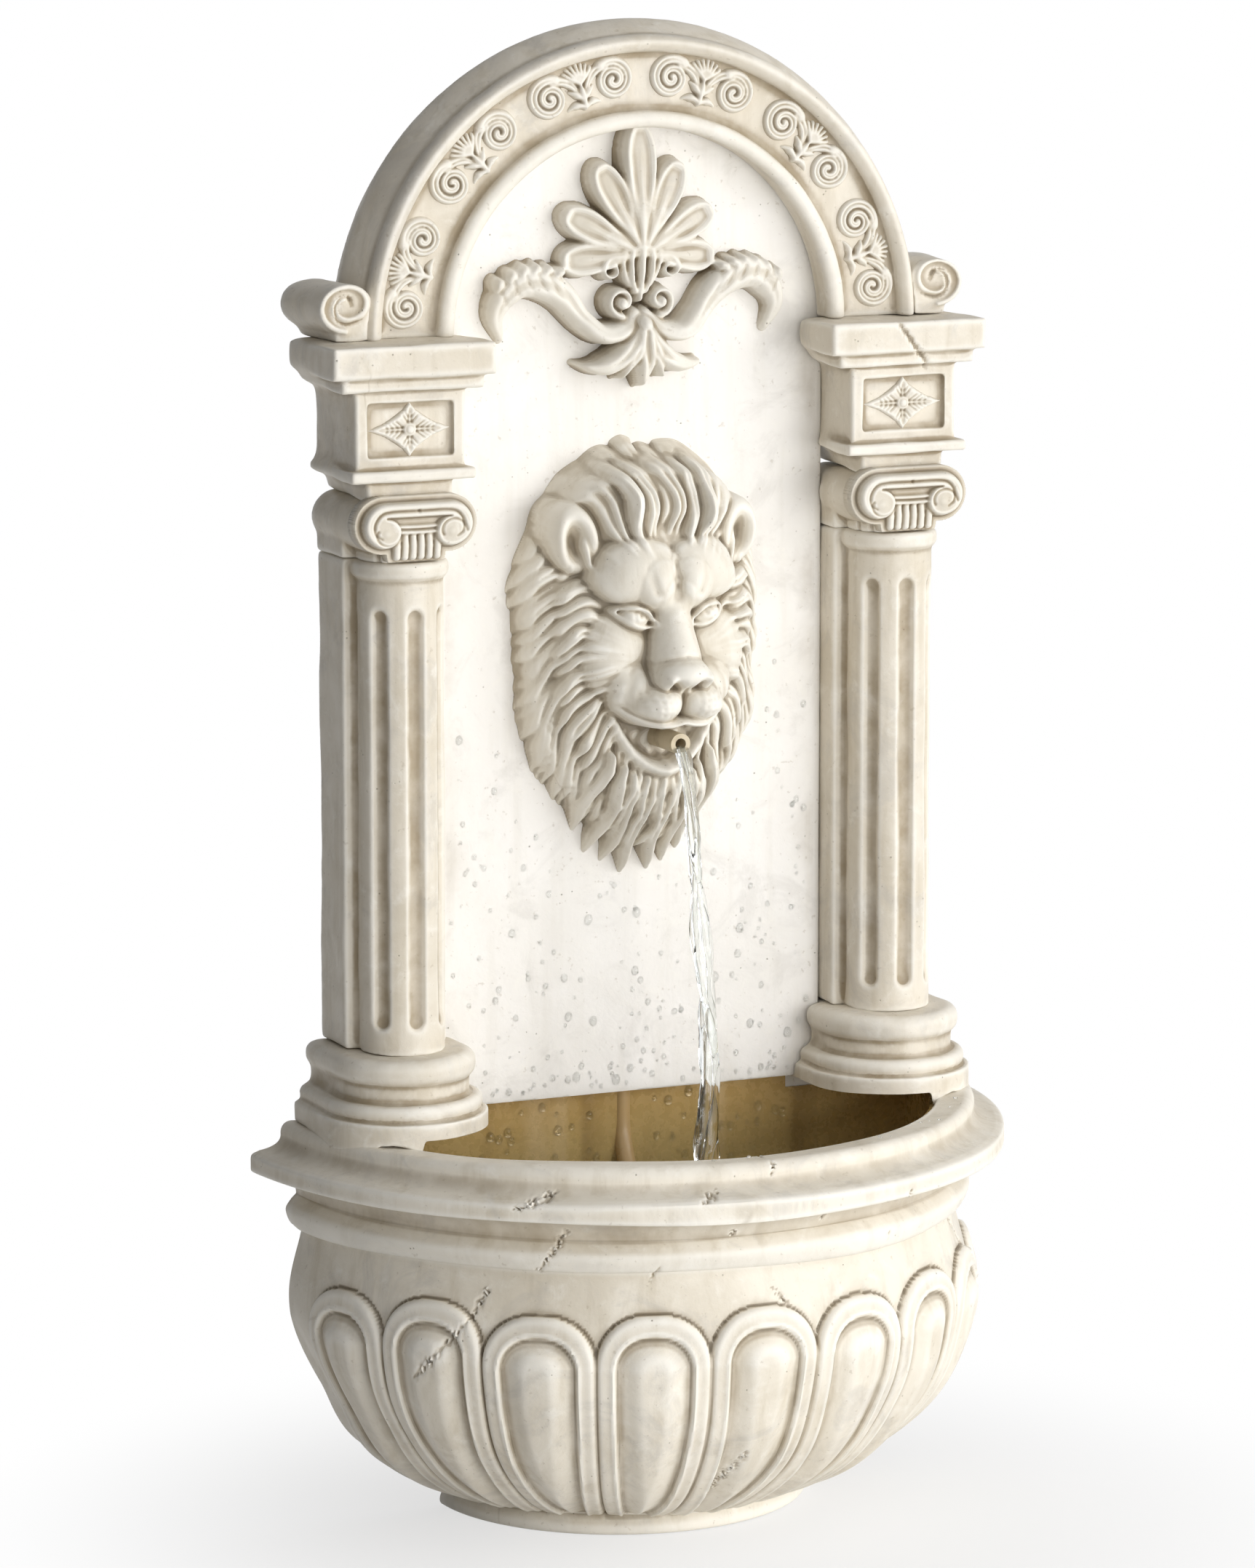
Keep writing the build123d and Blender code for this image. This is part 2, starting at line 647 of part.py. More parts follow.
# Archivolt: moulded half ring on the two cornices
inner_edge = ARCH_INNER - ARCH_OVERHANG
inner_end = inner_edge + INNER_ROLL_WIDTH
outer_end = BAND_OUTER + OUTER_ROLL_WIDTH
with BuildPart() as archivolt:
    with BuildSketch(Plane.XY.offset(ARCH_HEIGHT)):
        with BuildLine():
            Polyline((ARCH_INNER, WALL_Y), (ARCH_INNER, WALL_Y - PANEL_DEPTH),
                     (inner_edge, WALL_Y - PANEL_DEPTH), (inner_edge, WALL_Y - BAND_REACH))
            ThreePointArc((inner_edge, WALL_Y - BAND_REACH),
                          ((inner_edge + inner_end) / 2, WALL_Y - INNER_ROLL_REACH),
                          (inner_end, WALL_Y - BAND_REACH))
            Line((inner_end, WALL_Y - BAND_REACH), (BAND_OUTER, WALL_Y - BAND_REACH))
            ThreePointArc((BAND_OUTER, WALL_Y - BAND_REACH),
                          ((BAND_OUTER + outer_end) / 2, WALL_Y - OUTER_ROLL_REACH),
                          (outer_end, WALL_Y - BAND_REACH))
            ThreePointArc((outer_end, WALL_Y - BAND_REACH),
                          ((outer_end + ARCH_OUTER) / 2 + FLANK_SWELL, WALL_Y - BAND_REACH / 2),
                          (ARCH_OUTER, WALL_Y))
            Line((ARCH_OUTER, WALL_Y), (ARCH_INNER, WALL_Y))
        make_face()
    revolve(axis=Axis((0, 0, ARCH_HEIGHT), (0, -1, 0)), revolution_arc=180)
save(archivolt, "archivolt")

# Scroll motifs: two spirals, a fan of leaves between them and a small calyx
with BuildPart() as arch_scrollwork:
    for number in range(MOTIF_COUNT):
        angle = (number + 0.5) * 180 / MOTIF_COUNT
        spot_x = MOTIF_RADIUS * cos(radians(angle))
        spot_z = ARCH_HEIGHT + MOTIF_RADIUS * sin(radians(angle))
        inside = MOTIF_SPREAD - MOTIF_SCROLL
        with BuildSketch(wall_plane(BAND_REACH, spot_x, spot_z, angle - 90)):
            with BuildLine():
                spiral_arcs((MOTIF_SPREAD, 0), MOTIF_SCROLL, MOTIF_STEP, 3, 180, -1)
                spiral_arcs((-MOTIF_SPREAD, 0), MOTIF_SCROLL, MOTIF_STEP, 3, 0, 1)
                Line((inside, 0), (0, -MOTIF_SCROLL / 2))
                Line((-inside, 0), (0, -MOTIF_SCROLL / 2))
            trace(line_width=MOTIF_LINE)
            with BuildLine():
                for tilt in MOTIF_TILTS:
                    tip = (MOTIF_FAN * cos(radians(tilt)), MOTIF_FAN * sin(radians(tilt)))
                    Line((0, -MOTIF_SCROLL / 2), tip)
            trace(line_width=MOTIF_LINE * 0.7)
            with Locations((0, -MOTIF_SCROLL / 2)):
                Circle(MOTIF_LINE)
        extrude(amount=MOTIF_RISE)
save(arch_scrollwork, "arch_scrollwork")

# Right pilaster with its fluted column, and its mirror image
with BuildPart() as necking_ring:
    with Locations((COLUMN_X, WALL_Y - COLUMN_REACH, RING_BOTTOM + RING_HEIGHT / 2)):
        Cylinder(RING_RADIUS, RING_HEIGHT)
    fillet(necking_ring.edges().filter_by(GeomType.CIRCLE), min(RING_ROUND, RING_HEIGHT * 0.45))
with BuildPart() as right_pilaster:
    with BuildSketch(Plane.XY.offset(BASE_TOP)):
        with Locations((COLUMN_X, WALL_Y - PILASTER_REACH / 2)):
            Rectangle(PILASTER_WIDTH, PILASTER_REACH)
        with Locations((COLUMN_X, WALL_Y - COLUMN_REACH)):
            Circle(COLUMN_RADIUS)
    extrude(amount=RING_TOP - BASE_TOP)
    add(necking_ring.part)
    flute_centre = COLUMN_RADIUS + FLUTE_RADIUS - FLUTE_DEPTH
    for turn in (-FLUTE_ANGLE, 0, FLUTE_ANGLE):
        x = COLUMN_X + flute_centre * sin(radians(turn))
        y = WALL_Y - COLUMN_REACH - flute_centre * cos(radians(turn))
        with Locations((x, y, (FLUTE_BOTTOM + FLUTE_TOP) / 2)):
            Cylinder(FLUTE_RADIUS, FLUTE_TOP - FLUTE_BOTTOM - 2 * FLUTE_RADIUS, mode=Mode.SUBTRACT)
        with Locations((x, y, FLUTE_BOTTOM + FLUTE_RADIUS), (x, y, FLUTE_TOP - FLUTE_RADIUS)):
            Sphere(FLUTE_RADIUS, mode=Mode.SUBTRACT)
save(right_pilaster, "right_pilaster")
with BuildPart() as left_pilaster:
    mirror(right_pilaster.part, about=Plane.YZ)
save(left_pilaster, "left_pilaster")

# Column bases, seated on the rim, and the dowels that hold them
courses = [base_course(PLINTH_REACH, PLINTH_BOTTOM, PLINTH_TOP, 0),
           base_course(LOWER_ROLL_REACH, PLINTH_TOP, LOWER_ROLL_TOP, COURSE_ROUND),
           base_course(SCOTIA_REACH, LOWER_ROLL_TOP, SCOTIA_TOP, 0),
           base_course(UPPER_ROLL_REACH, SCOTIA_TOP, BASE_TOP, 1.5 * COURSE_ROUND)]
with BuildPart() as joint_dowels:
    for side in (-1, 1):
        for x, reach in DOWEL_PLACES:
            with Locations((side * x, WALL_Y - reach, DOWEL_MIDDLE)):
                Cylinder(DOWEL_RADIUS, DOWEL_LENGTH)
save(joint_dowels, "joint_dowels")
opening_disc = tub_solid(0, 0, BASIN_FLOOR, LIP_TOP + LIP_RISE)
with BuildPart() as rim_ring:
    add(rim_body)
    add(opening_disc, mode=Mode.SUBTRACT)
with BuildPart() as right_column_base:
    for course in courses:
        add(course)
    add(panel_block.part, mode=Mode.SUBTRACT)
    add(rim_ring.part, mode=Mode.SUBTRACT)
    add(back_wall.part, mode=Mode.SUBTRACT)
    add(joint_dowels.part, mode=Mode.SUBTRACT)
save(right_column_base, "right_column_base")
with BuildPart() as left_column_base:
    mirror(right_column_base.part, about=Plane.YZ)
save(left_column_base, "left_column_base")

# Scroll capitals
with BuildPart() as right_capital:
    with BuildSketch(Plane.XY.offset(RING_TOP)):
        with Locations((COLUMN_X, WALL_Y - PILASTER_REACH / 2)):
            Rectangle(PILASTER_WIDTH, PILASTER_REACH)
        with Locations((COLUMN_X, WALL_Y - COLUMN_REACH)):
            Circle(COLUMN_RADIUS)
    extrude(amount=SCROLL_HEIGHT - RING_TOP)
    with PolarLocations(COLUMN_RADIUS, NECK_FLUTES, 180 + 18, 144) as neck_ring:
        flute_spots = [spot.position for spot in neck_ring.locations]
    with BuildSketch(wall_plane(0)):
        with Locations((COLUMN_X - SCROLL_SPREAD, SCROLL_HEIGHT), (COLUMN_X + SCROLL_SPREAD, SCROLL_HEIGHT)):
            Circle(SCROLL_RADIUS)
        with Locations((COLUMN_X, SCROLL_HEIGHT + SCROLL_RADIUS / 2)):
            Rectangle(2 * SCROLL_SPREAD, SCROLL_RADIUS)
    extrude(amount=CAPITAL_REACH)
    with BuildSketch(wall_plane(CAPITAL_REACH)):
        with BuildLine():
            winding = SCROLL_RADIUS - SCROLL_LINE / 2
            spiral_arcs((COLUMN_X + SCROLL_SPREAD, SCROLL_HEIGHT), winding, SCROLL_STEP, 4, 90, -1)
            spiral_arcs((COLUMN_X - SCROLL_SPREAD, SCROLL_HEIGHT), winding, SCROLL_STEP, 4, 90, 1)
            Line((COLUMN_X - SCROLL_SPREAD, SCROLL_HEIGHT + winding),
                 (COLUMN_X + SCROLL_SPREAD, SCROLL_HEIGHT + winding))
        trace(line_width=SCROLL_LINE)
    extrude(amount=SCROLL_RISE)
    for spot in flute_spots:
        with Locations((COLUMN_X + spot.X, WALL_Y - COLUMN_REACH + spot.Y, RING_TOP)):
            Cylinder(NECK_FLUTE_RADIUS, SCROLL_RADIUS, mode=Mode.SUBTRACT)
    add(panel_block.part, mode=Mode.SUBTRACT)
save(right_capital, "right_capital")
with BuildPart() as left_capital:
    mirror(right_capital.part, about=Plane.YZ)
save(left_capital, "left_capital")

# Wall hangers: keyhole plates let into the back of the frieze blocks
hanger_spots = [(side * (COLUMN_X + offset), HANGER_HEIGHT) for side in (-1, 1)
                for offset in (-HANGER_SCREW_X, HANGER_SCREW_X)]
hanger_bodies = [countersunk_screw(x, z, 0, SCREW_LENGTH) for x, z in hanger_spots]
with BuildPart() as hanger_screws:
    for body in hanger_bodies:
        add(body)
save(hanger_screws, "hanger_screws")
with BuildPart() as hanger_plates:
    with BuildSketch(wall_plane(0)):
        for side in (-1, 1):
            with Locations((side * COLUMN_X, HANGER_HEIGHT)):
                Rectangle(HANGER_WIDTH - 2 * SNUG, HANGER_TALL - 2 * SNUG)
            with Locations((side * COLUMN_X, HANGER_HEIGHT - KEYHOLE_RISE / 2)):
                Circle(KEYHOLE_HEAD, mode=Mode.SUBTRACT)
            with Locations((side * COLUMN_X, HANGER_HEIGHT)):
                SlotCenterToCenter(KEYHOLE_RISE, 2 * KEYHOLE_SLOT, rotation=90, mode=Mode.SUBTRACT)
    extrude(amount=HANGER_THICK)
    for body in hanger_bodies:
        add(body, mode=Mode.SUBTRACT)
save(hanger_plates, "hanger_plates")

# Entablatures: abacus, lip, frieze block with its sunk panel, bed mould and cornice
sunk_height = (FRIEZE_BOTTOM + BED_BOTTOM) / 2
steps = [block(ABACUS_HALF, ABACUS_REACH, CAPITAL_TOP, LIP_BOTTOM),
         block(LIP_HALF, LIP_REACH, LIP_BOTTOM, FRIEZE_BOTTOM),
         block(FRIEZE_HALF, FRIEZE_REACH, FRIEZE_BOTTOM, BED_BOTTOM),
         block(BED_HALF, BED_REACH, BED_BOTTOM, CORNICE_BOTTOM),
         block(CORNICE_HALF, CORNICE_REACH, CORNICE_BOTTOM, ARCH_HEIGHT)]
with BuildPart() as right_entablature:
    for step in steps:
        add(step)
    add(panel_block.part, mode=Mode.SUBTRACT)
    with BuildSketch(wall_plane(FRIEZE_REACH - SUNK_DEPTH)):
        with Locations((COLUMN_X, sunk_height)):
            Rectangle(SUNK_WIDTH, SUNK_HEIGHT)
    extrude(amount=2 * SUNK_DEPTH, mode=Mode.SUBTRACT)
    with BuildSketch(wall_plane(0)):
        with Locations((COLUMN_X, HANGER_HEIGHT)):
            Rectangle(HANGER_WIDTH, HANGER_TALL)
    extrude(amount=HANGER_THICK, mode=Mode.SUBTRACT)
    with BuildSketch(wall_plane(0)):
        with Locations((COLUMN_X, HANGER_HEIGHT)):
            Rectangle(HANGER_POCKET_WIDTH, HANGER_POCKET_TALL)
    extrude(amount=HANGER_POCKET_DEPTH, mode=Mode.SUBTRACT)
    for body in hanger_bodies:
        add(body, mode=Mode.SUBTRACT)
save(right_entablature, "right_entablature")
with BuildPart() as left_entablature:
    mirror(right_entablature.part, about=Plane.YZ)
save(left_entablature, "left_entablature")

# Four-pointed stars in the sunk panels
with BuildPart() as frieze_rosettes:
    for side in (-1, 1):
        with BuildSketch(wall_plane(FRIEZE_REACH - SUNK_DEPTH, side * COLUMN_X, sunk_height)):
            with BuildLine():
                Polyline((STAR_WIDTH / 2, 0), (STAR_WAIST, STAR_WAIST), (0, STAR_HEIGHT / 2),
                         (-STAR_WAIST, STAR_WAIST), (-STAR_WIDTH / 2, 0), (-STAR_WAIST, -STAR_WAIST),
                         (0, -STAR_HEIGHT / 2), (STAR_WAIST, -STAR_WAIST), close=True)
            make_face()
        extrude(amount=STAR_RISE)
        with BuildSketch(wall_plane(FRIEZE_REACH - SUNK_DEPTH, side * COLUMN_X, sunk_height)):
            Circle(STAR_BOSS)
        extrude(amount=STAR_RISE + SUNK_DEPTH / 2)
save(frieze_rosettes, "frieze_rosettes")

# Scrolls beside the arch
with BuildPart() as right_acroterion:
    with BuildSketch(wall_plane(0)):
        with Locations((ACRO_X, ACRO_HEIGHT)):
            Circle(ACRO_RADIUS)
        with Locations((ACRO_X - ACRO_WEB / 2, (ARCH_HEIGHT + ACRO_HEIGHT) / 2)):
            Rectangle(2 * ACRO_WEB, ACRO_HEIGHT - ARCH_HEIGHT)
    extrude(amount=ACRO_REACH)
    with BuildSketch(wall_plane(ACRO_REACH)):
        with BuildLine():
            spiral_arcs((ACRO_X, ACRO_HEIGHT), ACRO_RADIUS - SCROLL_LINE / 2, SCROLL_STEP, 3, -90, 1)
        trace(line_width=SCROLL_LINE)
    extrude(amount=SCROLL_RISE)
    add(archivolt.part, mode=Mode.SUBTRACT)
save(right_acroterion, "right_acroterion")
with BuildPart() as left_acroterion:
    mirror(right_acroterion.part, about=Plane.YZ)
save(left_acroterion, "left_acroterion")

# Palmette crest: fan of leaves, waist, two curling arms and a hanging leaf
crest_leaves = []
for spread, length, width in CREST_LEAVES:
    for turn in sorted({spread, -spread}):
        crest_leaves.append(leaf(wall_plane(PANEL_DEPTH, 0, CREST_BASE, turn), length, width, CREST_STEM))
for spread, length, width in PENDANT_LEAVES:
    for turn in sorted({spread, 360 - spread}):
        crest_leaves.append(leaf(wall_plane(PANEL_DEPTH, 0, CREST_WAIST, turn), length, width, CREST_STEM))
for turn, start in ((0, CREST_WAIST), (180, CREST_BASE)):
    rise = 1.25 * (CREST_BASE - CREST_WAIST)
    crest_leaves.append(leaf(wall_plane(PANEL_DEPTH, 0, start, turn), rise, CREST_WAIST_WIDTH, CREST_STEM))
arm_plane = wall_plane(PANEL_DEPTH)
with BuildPart() as crest_arm:
    with BuildLine(arm_plane) as arm_path:
        dip = JernArc((ARM_START_X, CREST_WAIST), (cos(radians(ARM_TILT)), -sin(radians(ARM_TILT))),
                      ARM_DIP_RADIUS, 2 * ARM_TILT)
        climb = PolarLine(dip @ 1, ARM_RISE_LENGTH, ARM_TILT)
        curl = JernArc(climb @ 1, climb % 1, ARM_CURL_RADIUS, -ARM_CURL_SWEEP)
        Line(curl @ 1, (curl @ 1) + (curl % 1) * ARM_TIP_LENGTH)
    with BuildSketch(Plane(origin=arm_path.wire() @ 0, z_dir=arm_path.wire() % 0)):
        Circle(ARM_RADIUS)
    sweep()
    split(bisect_by=arm_plane, keep=Keep.TOP)
with BuildPart() as palmette_crest:
    for body in crest_leaves:
        add(body)
    add(crest_arm.part)
    mirror(crest_arm.part, about=Plane.YZ)
    with BuildSketch(arm_plane):
        for x, z in CURL_PLACES:
            with Locations((x, z), (-x, z)):
                Circle(CURL_RADIUS)
    extrude(amount=CURL_RISE)
save(palmette_crest, "palmette_crest")

# Lion mask: mane, face, muzzle, nose, jaw, ears and two rows of locks
masses = [dome(sections) for sections in (MANE_DOME, FACE_DOME, MUZZLE_DOME, NOSE_DOME, JAW_DOME)]
locks = []
for number in range(LOCK_COUNT):
    turn = number * 360 / LOCK_COUNT
    plane = wall_plane(PANEL_DEPTH, -LOCK_HALF_WIDTH * sin(radians(turn)),
                       MASK_HEIGHT + LOCK_HALF_HEIGHT * cos(radians(turn)),
                       turn + LOCK_LEAN * sin(radians(turn)))
    locks.append(lock(plane, LOCK_LENGTH, LOCK_WIDTH, LOCK_STEM))
for number in range(INNER_LOCK_COUNT):
    turn = (number + 0.5) * 360 / INNER_LOCK_COUNT
    plane = wall_plane(INNER_LOCK_REACH, -INNER_LOCK_HALF_WIDTH * sin(radians(turn)),
                       MASK_HEIGHT + INNER_LOCK_HALF_HEIGHT * cos(radians(turn)),
                       turn + LOCK_LEAN * sin(radians(turn)))
    locks.append(lock(plane, INNER_LOCK_LENGTH, INNER_LOCK_WIDTH, LOCK_STEM))
with BuildPart() as lion_mask:
    for body in masses:
        add(body)
    for body in locks:
        add(body)
    for side in (-1, 1):
        with Locations((side * BROW_PLACE[0], WALL_Y - BROW_PLACE[1], BROW_PLACE[2])):
            Sphere(BROW_RADIUS)
        with Locations((side * EYE_PLACE[0], WALL_Y - EYE_PLACE[1], EYE_PLACE[2])):
            Sphere(EYE_RADIUS)
        with Locations((side * EAR_PLACE[0], WALL_Y - EAR_PLACE[1], EAR_PLACE[2])):
            Sphere(EAR_RADIUS)
        with Locations((side * EAR_PLACE[0], WALL_Y - EAR_PLACE[1] - EAR_HOLLOW_SHIFT, EAR_PLACE[2])):
            Sphere(EAR_HOLLOW, mode=Mode.SUBTRACT)
    add(rod(0, SPOUT_HEIGHT, MASK_WINDOW, 0, PANEL_DEPTH + MASK_CAVITY_DEPTH), mode=Mode.SUBTRACT)
    add(rod(0, SPOUT_HEIGHT, SPOUT_RADIUS, PANEL_DEPTH, 2 * SPOUT_FRONT), mode=Mode.SUBTRACT)
    split(bisect_by=arm_plane, keep=Keep.TOP)
save(lion_mask, "lion_mask")

# Spout tube with its barbed tail
with BuildPart() as spout_tube:
    with BuildSketch(wall_plane(SPOUT_SHOULDER)):
        with Locations((0, SPOUT_HEIGHT)):
            Circle(SPOUT_RADIUS)
    extrude(amount=SPOUT_FRONT - SPOUT_SHOULDER)
    with BuildSketch(wall_plane(SPOUT_SHOULDER - BARB_LENGTH)):
        with Locations((0, SPOUT_HEIGHT)):
            Circle(BARB_RADIUS)
    extrude(amount=BARB_LENGTH)
    add(rod(0, SPOUT_HEIGHT, BARB_BORE, 0, SPOUT_FRONT), mode=Mode.SUBTRACT)
    add(rod(0, SPOUT_HEIGHT, SPOUT_BORE, SPOUT_SHOULDER, SPOUT_FRONT), mode=Mode.SUBTRACT)
save(spout_tube, "spout_tube")

# Supply hose, from the pump's nozzle up the back to the spout
hose_start = NOZZLE_TOP - BARB_LENGTH
hose_points = [(0, WALL_Y - NOZZLE_REACH, hose_start), (0, WALL_Y - NOZZLE_REACH, HOSE_FOOT_BEND),
               (0, WALL_Y - HOSE_REACH, HOSE_WALL_BEND), (0, WALL_Y - HOSE_REACH, SPOUT_HEIGHT),
               (0, WALL_Y - SPOUT_SHOULDER, SPOUT_HEIGHT)]
with BuildPart() as supply_hose:
    with BuildLine() as hose_path:
        FilletPolyline(*hose_points, radius=[HOSE_LOWER_RADIUS, HOSE_LOWER_RADIUS, HOSE_TOP_RADIUS])
    with BuildSketch(Plane.XY.offset(hose_start)):
        with Locations((0, WALL_Y - NOZZLE_REACH)):
            Circle(HOSE_RADIUS)
            Circle(HOSE_BORE, mode=Mode.SUBTRACT)
    sweep()
save(supply_hose, "supply_hose")
print("hose length", round(hose_path.wire().length, 1))

# Hose clamps: a band with a small screw lug at each end of the hose
clamp_low = hose_start + BARB_LENGTH / 2
clamp_high = SPOUT_SHOULDER - BARB_LENGTH / 2
band = HOSE_RADIUS + CLAMP_WALL
with BuildPart() as hose_clamps:
    with BuildSketch(Plane.XY.offset(clamp_low - CLAMP_WIDTH / 2)):
        with Locations((0, WALL_Y - NOZZLE_REACH)):
            Circle(band)
        with Locations((0, WALL_Y - NOZZLE_REACH - band)):
            Rectangle(CLAMP_LUG, CLAMP_LUG)
        with Locations((0, WALL_Y - NOZZLE_REACH)):
            Circle(HOSE_RADIUS, mode=Mode.SUBTRACT)
    extrude(amount=CLAMP_WIDTH)
    with BuildSketch(wall_plane(clamp_high - CLAMP_WIDTH / 2)):
        with Locations((0, SPOUT_HEIGHT)):
            Circle(band)
        with Locations((0, SPOUT_HEIGHT - band)):
            Rectangle(CLAMP_LUG, CLAMP_LUG)
        with Locations((0, SPOUT_HEIGHT)):
            Circle(HOSE_RADIUS, mode=Mode.SUBTRACT)
    extrude(amount=CLAMP_WIDTH)
save(hose_clamps, "hose_clamps")

# Pump body: sealed motor block with the rotor's well
with BuildPart() as pump_body:
    with BuildSketch(wall_plane(PUMP_BACK)):
        with Locations((0, PUMP_AXIS)):
            RectangleRounded(PUMP_WIDTH, PUMP_HEIGHT, PUMP_ROUND)
    extrude(amount=PUMP_DEPTH)
    fillet(pump_body.faces().sort_by(Axis.Y)[-1].edges(), PUMP_ROUND / 2)
    add(rod(0, PUMP_AXIS, WELL_RADIUS, PUMP_FRONT - WELL_DEPTH, PUMP_FRONT), mode=Mode.SUBTRACT)
    add(rod(0, PUMP_AXIS, BUSH_RADIUS, PUMP_FRONT - WELL_DEPTH - BUSH_LENGTH, PUMP_FRONT), mode=Mode.SUBTRACT)
    add(rod(GLAND_X, PUMP_AXIS + GLAND_X, GLAND_RADIUS, 0, PUMP_BACK + GLAND_DEPTH), mode=Mode.SUBTRACT)
    with Locations((0, WALL_Y - (PUMP_BACK + PUMP_FRONT) / 2, PUMP_BOTTOM + CUP_STEM_LENGTH / 2)):
        with GridLocations(CUP_SPREAD_X, CUP_SPREAD_Y, 2, 2):
            Cylinder(CUP_STEM, CUP_STEM_LENGTH, mode=Mode.SUBTRACT)
save(pump_body, "pump_body")

# Suction feet
with BuildPart() as suction_feet:
    with Locations((0, WALL_Y - (PUMP_BACK + PUMP_FRONT) / 2, PUMP_BOTTOM - FOOT_LIFT / 2)):
        with GridLocations(CUP_SPREAD_X, CUP_SPREAD_Y, 2, 2):
            Cone(CUP_RADIUS, CUP_STEM + FIT, FOOT_LIFT)
    with Locations((0, WALL_Y - (PUMP_BACK + PUMP_FRONT) / 2, PUMP_BOTTOM + CUP_STEM_LENGTH / 2)):
        with GridLocations(CUP_SPREAD_X, CUP_SPREAD_Y, 2, 2):
            Cylinder(CUP_STEM, CUP_STEM_LENGTH)
save(suction_feet, "suction_feet")

# Cable gland in the pump's back
with BuildPart() as cable_gland:
    with BuildSketch(wall_plane(PUMP_BACK)):
        with Locations((GLAND_X, PUMP_AXIS + GLAND_X)):
            Circle(GLAND_RADIUS)
    extrude(amount=GLAND_DEPTH)
    with BuildSketch(wall_plane(PUMP_BACK - GLAND_LENGTH)):
        with Locations((GLAND_X, PUMP_AXIS + GLAND_X)):
            RegularPolygon(GLAND_FLANGE, 6)
    extrude(amount=GLAND_LENGTH)
    add(rod(GLAND_X, PUMP_AXIS + GLAND_X, GLAND_BORE, 0, PUMP_BACK + GLAND_DEPTH / 2), mode=Mode.SUBTRACT)
save(cable_gland, "cable_gland")

# Impeller cover: water chamber with its inlet holes, shaft hub and outlet nozzle
blade_end = PUMP_FRONT + FIT + ROTOR_DISC_THICK + BLADE_HEIGHT
hub_start = blade_end + FIT
with BuildPart() as impeller_cover:
    with BuildSketch(wall_plane(PUMP_FRONT)):
        with Locations((0, PUMP_AXIS)):
            RectangleRounded(CHAMBER_WIDTH, CHAMBER_WIDTH, PUMP_ROUND)
    extrude(amount=CHAMBER_DEPTH)
    with Locations((0, WALL_Y - NOZZLE_REACH, (PUMP_AXIS + NOZZLE_TOP) / 2)):
        Cylinder(BARB_RADIUS, NOZZLE_TOP - PUMP_AXIS)
    add(rod(0, PUMP_AXIS, CHAMBER_RADIUS, PUMP_FRONT, CHAMBER_FRONT - PUMP_WALL), mode=Mode.SUBTRACT)
    with BuildSketch(wall_plane(hub_start)):
        with Locations((0, PUMP_AXIS)):
            Circle(CHAMBER_HUB)
    extrude(amount=CHAMBER_FRONT - hub_start)
    add(rod(0, PUMP_AXIS, BUSH_RADIUS, hub_start, hub_start + BUSH_LENGTH), mode=Mode.SUBTRACT)
    with BuildSketch(wall_plane(CHAMBER_FRONT - PUMP_WALL)):
        with Locations((0, PUMP_AXIS)):
            with PolarLocations(INLET_PITCH, INLET_COUNT):
                Circle(INLET_RADIUS)
    extrude(amount=PUMP_WALL, mode=Mode.SUBTRACT)
    with Locations((0, WALL_Y - NOZZLE_REACH, (PUMP_AXIS + CHAMBER_HUB + NOZZLE_TOP) / 2 + FIT)):
        Cylinder(BARB_BORE, NOZZLE_TOP - PUMP_AXIS - CHAMBER_HUB + FIT, mode=Mode.SUBTRACT)
save(impeller_cover, "impeller_cover")

# Impeller: magnet rotor, disc and blades on a fixed shaft
with BuildPart() as impeller:
    with BuildSketch(wall_plane(PUMP_FRONT - WELL_DEPTH + FIT)):
        with Locations((0, PUMP_AXIS)):
            Circle(ROTOR_RADIUS)
    extrude(amount=WELL_DEPTH)
    with BuildSketch(wall_plane(PUMP_FRONT + FIT)):
        with Locations((0, PUMP_AXIS)):
            Circle(ROTOR_DISC)
    extrude(amount=ROTOR_DISC_THICK)
    with BuildSketch(wall_plane(PUMP_FRONT + FIT)):
        with Locations((0, PUMP_AXIS)):
            for number in range(BLADE_COUNT):
                Rectangle(2 * ROTOR_DISC - BLADE_THICK, BLADE_THICK, rotation=number * 180 / BLADE_COUNT)
    extrude(amount=ROTOR_DISC_THICK + BLADE_HEIGHT)
    add(rod(0, PUMP_AXIS, SHAFT_RADIUS + RUN_CLEARANCE, 0, 2 * PUMP_FRONT), mode=Mode.SUBTRACT)
save(impeller, "impeller")

# Fixed shaft and the two bushes that hold its ends
shaft_back = PUMP_FRONT - WELL_DEPTH - BUSH_LENGTH
with BuildPart() as impeller_shaft:
    with BuildSketch(wall_plane(shaft_back)):
        with Locations((0, PUMP_AXIS)):
            Circle(SHAFT_RADIUS)
    extrude(amount=hub_start + BUSH_LENGTH - shaft_back)
save(impeller_shaft, "impeller_shaft")
with BuildPart() as shaft_bushes:
    for start in (shaft_back, hub_start):
        with BuildSketch(wall_plane(start)):
            with Locations((0, PUMP_AXIS)):
                Circle(BUSH_RADIUS)
                Circle(SHAFT_RADIUS, mode=Mode.SUBTRACT)
        extrude(amount=BUSH_LENGTH)
save(shaft_bushes, "shaft_bushes")

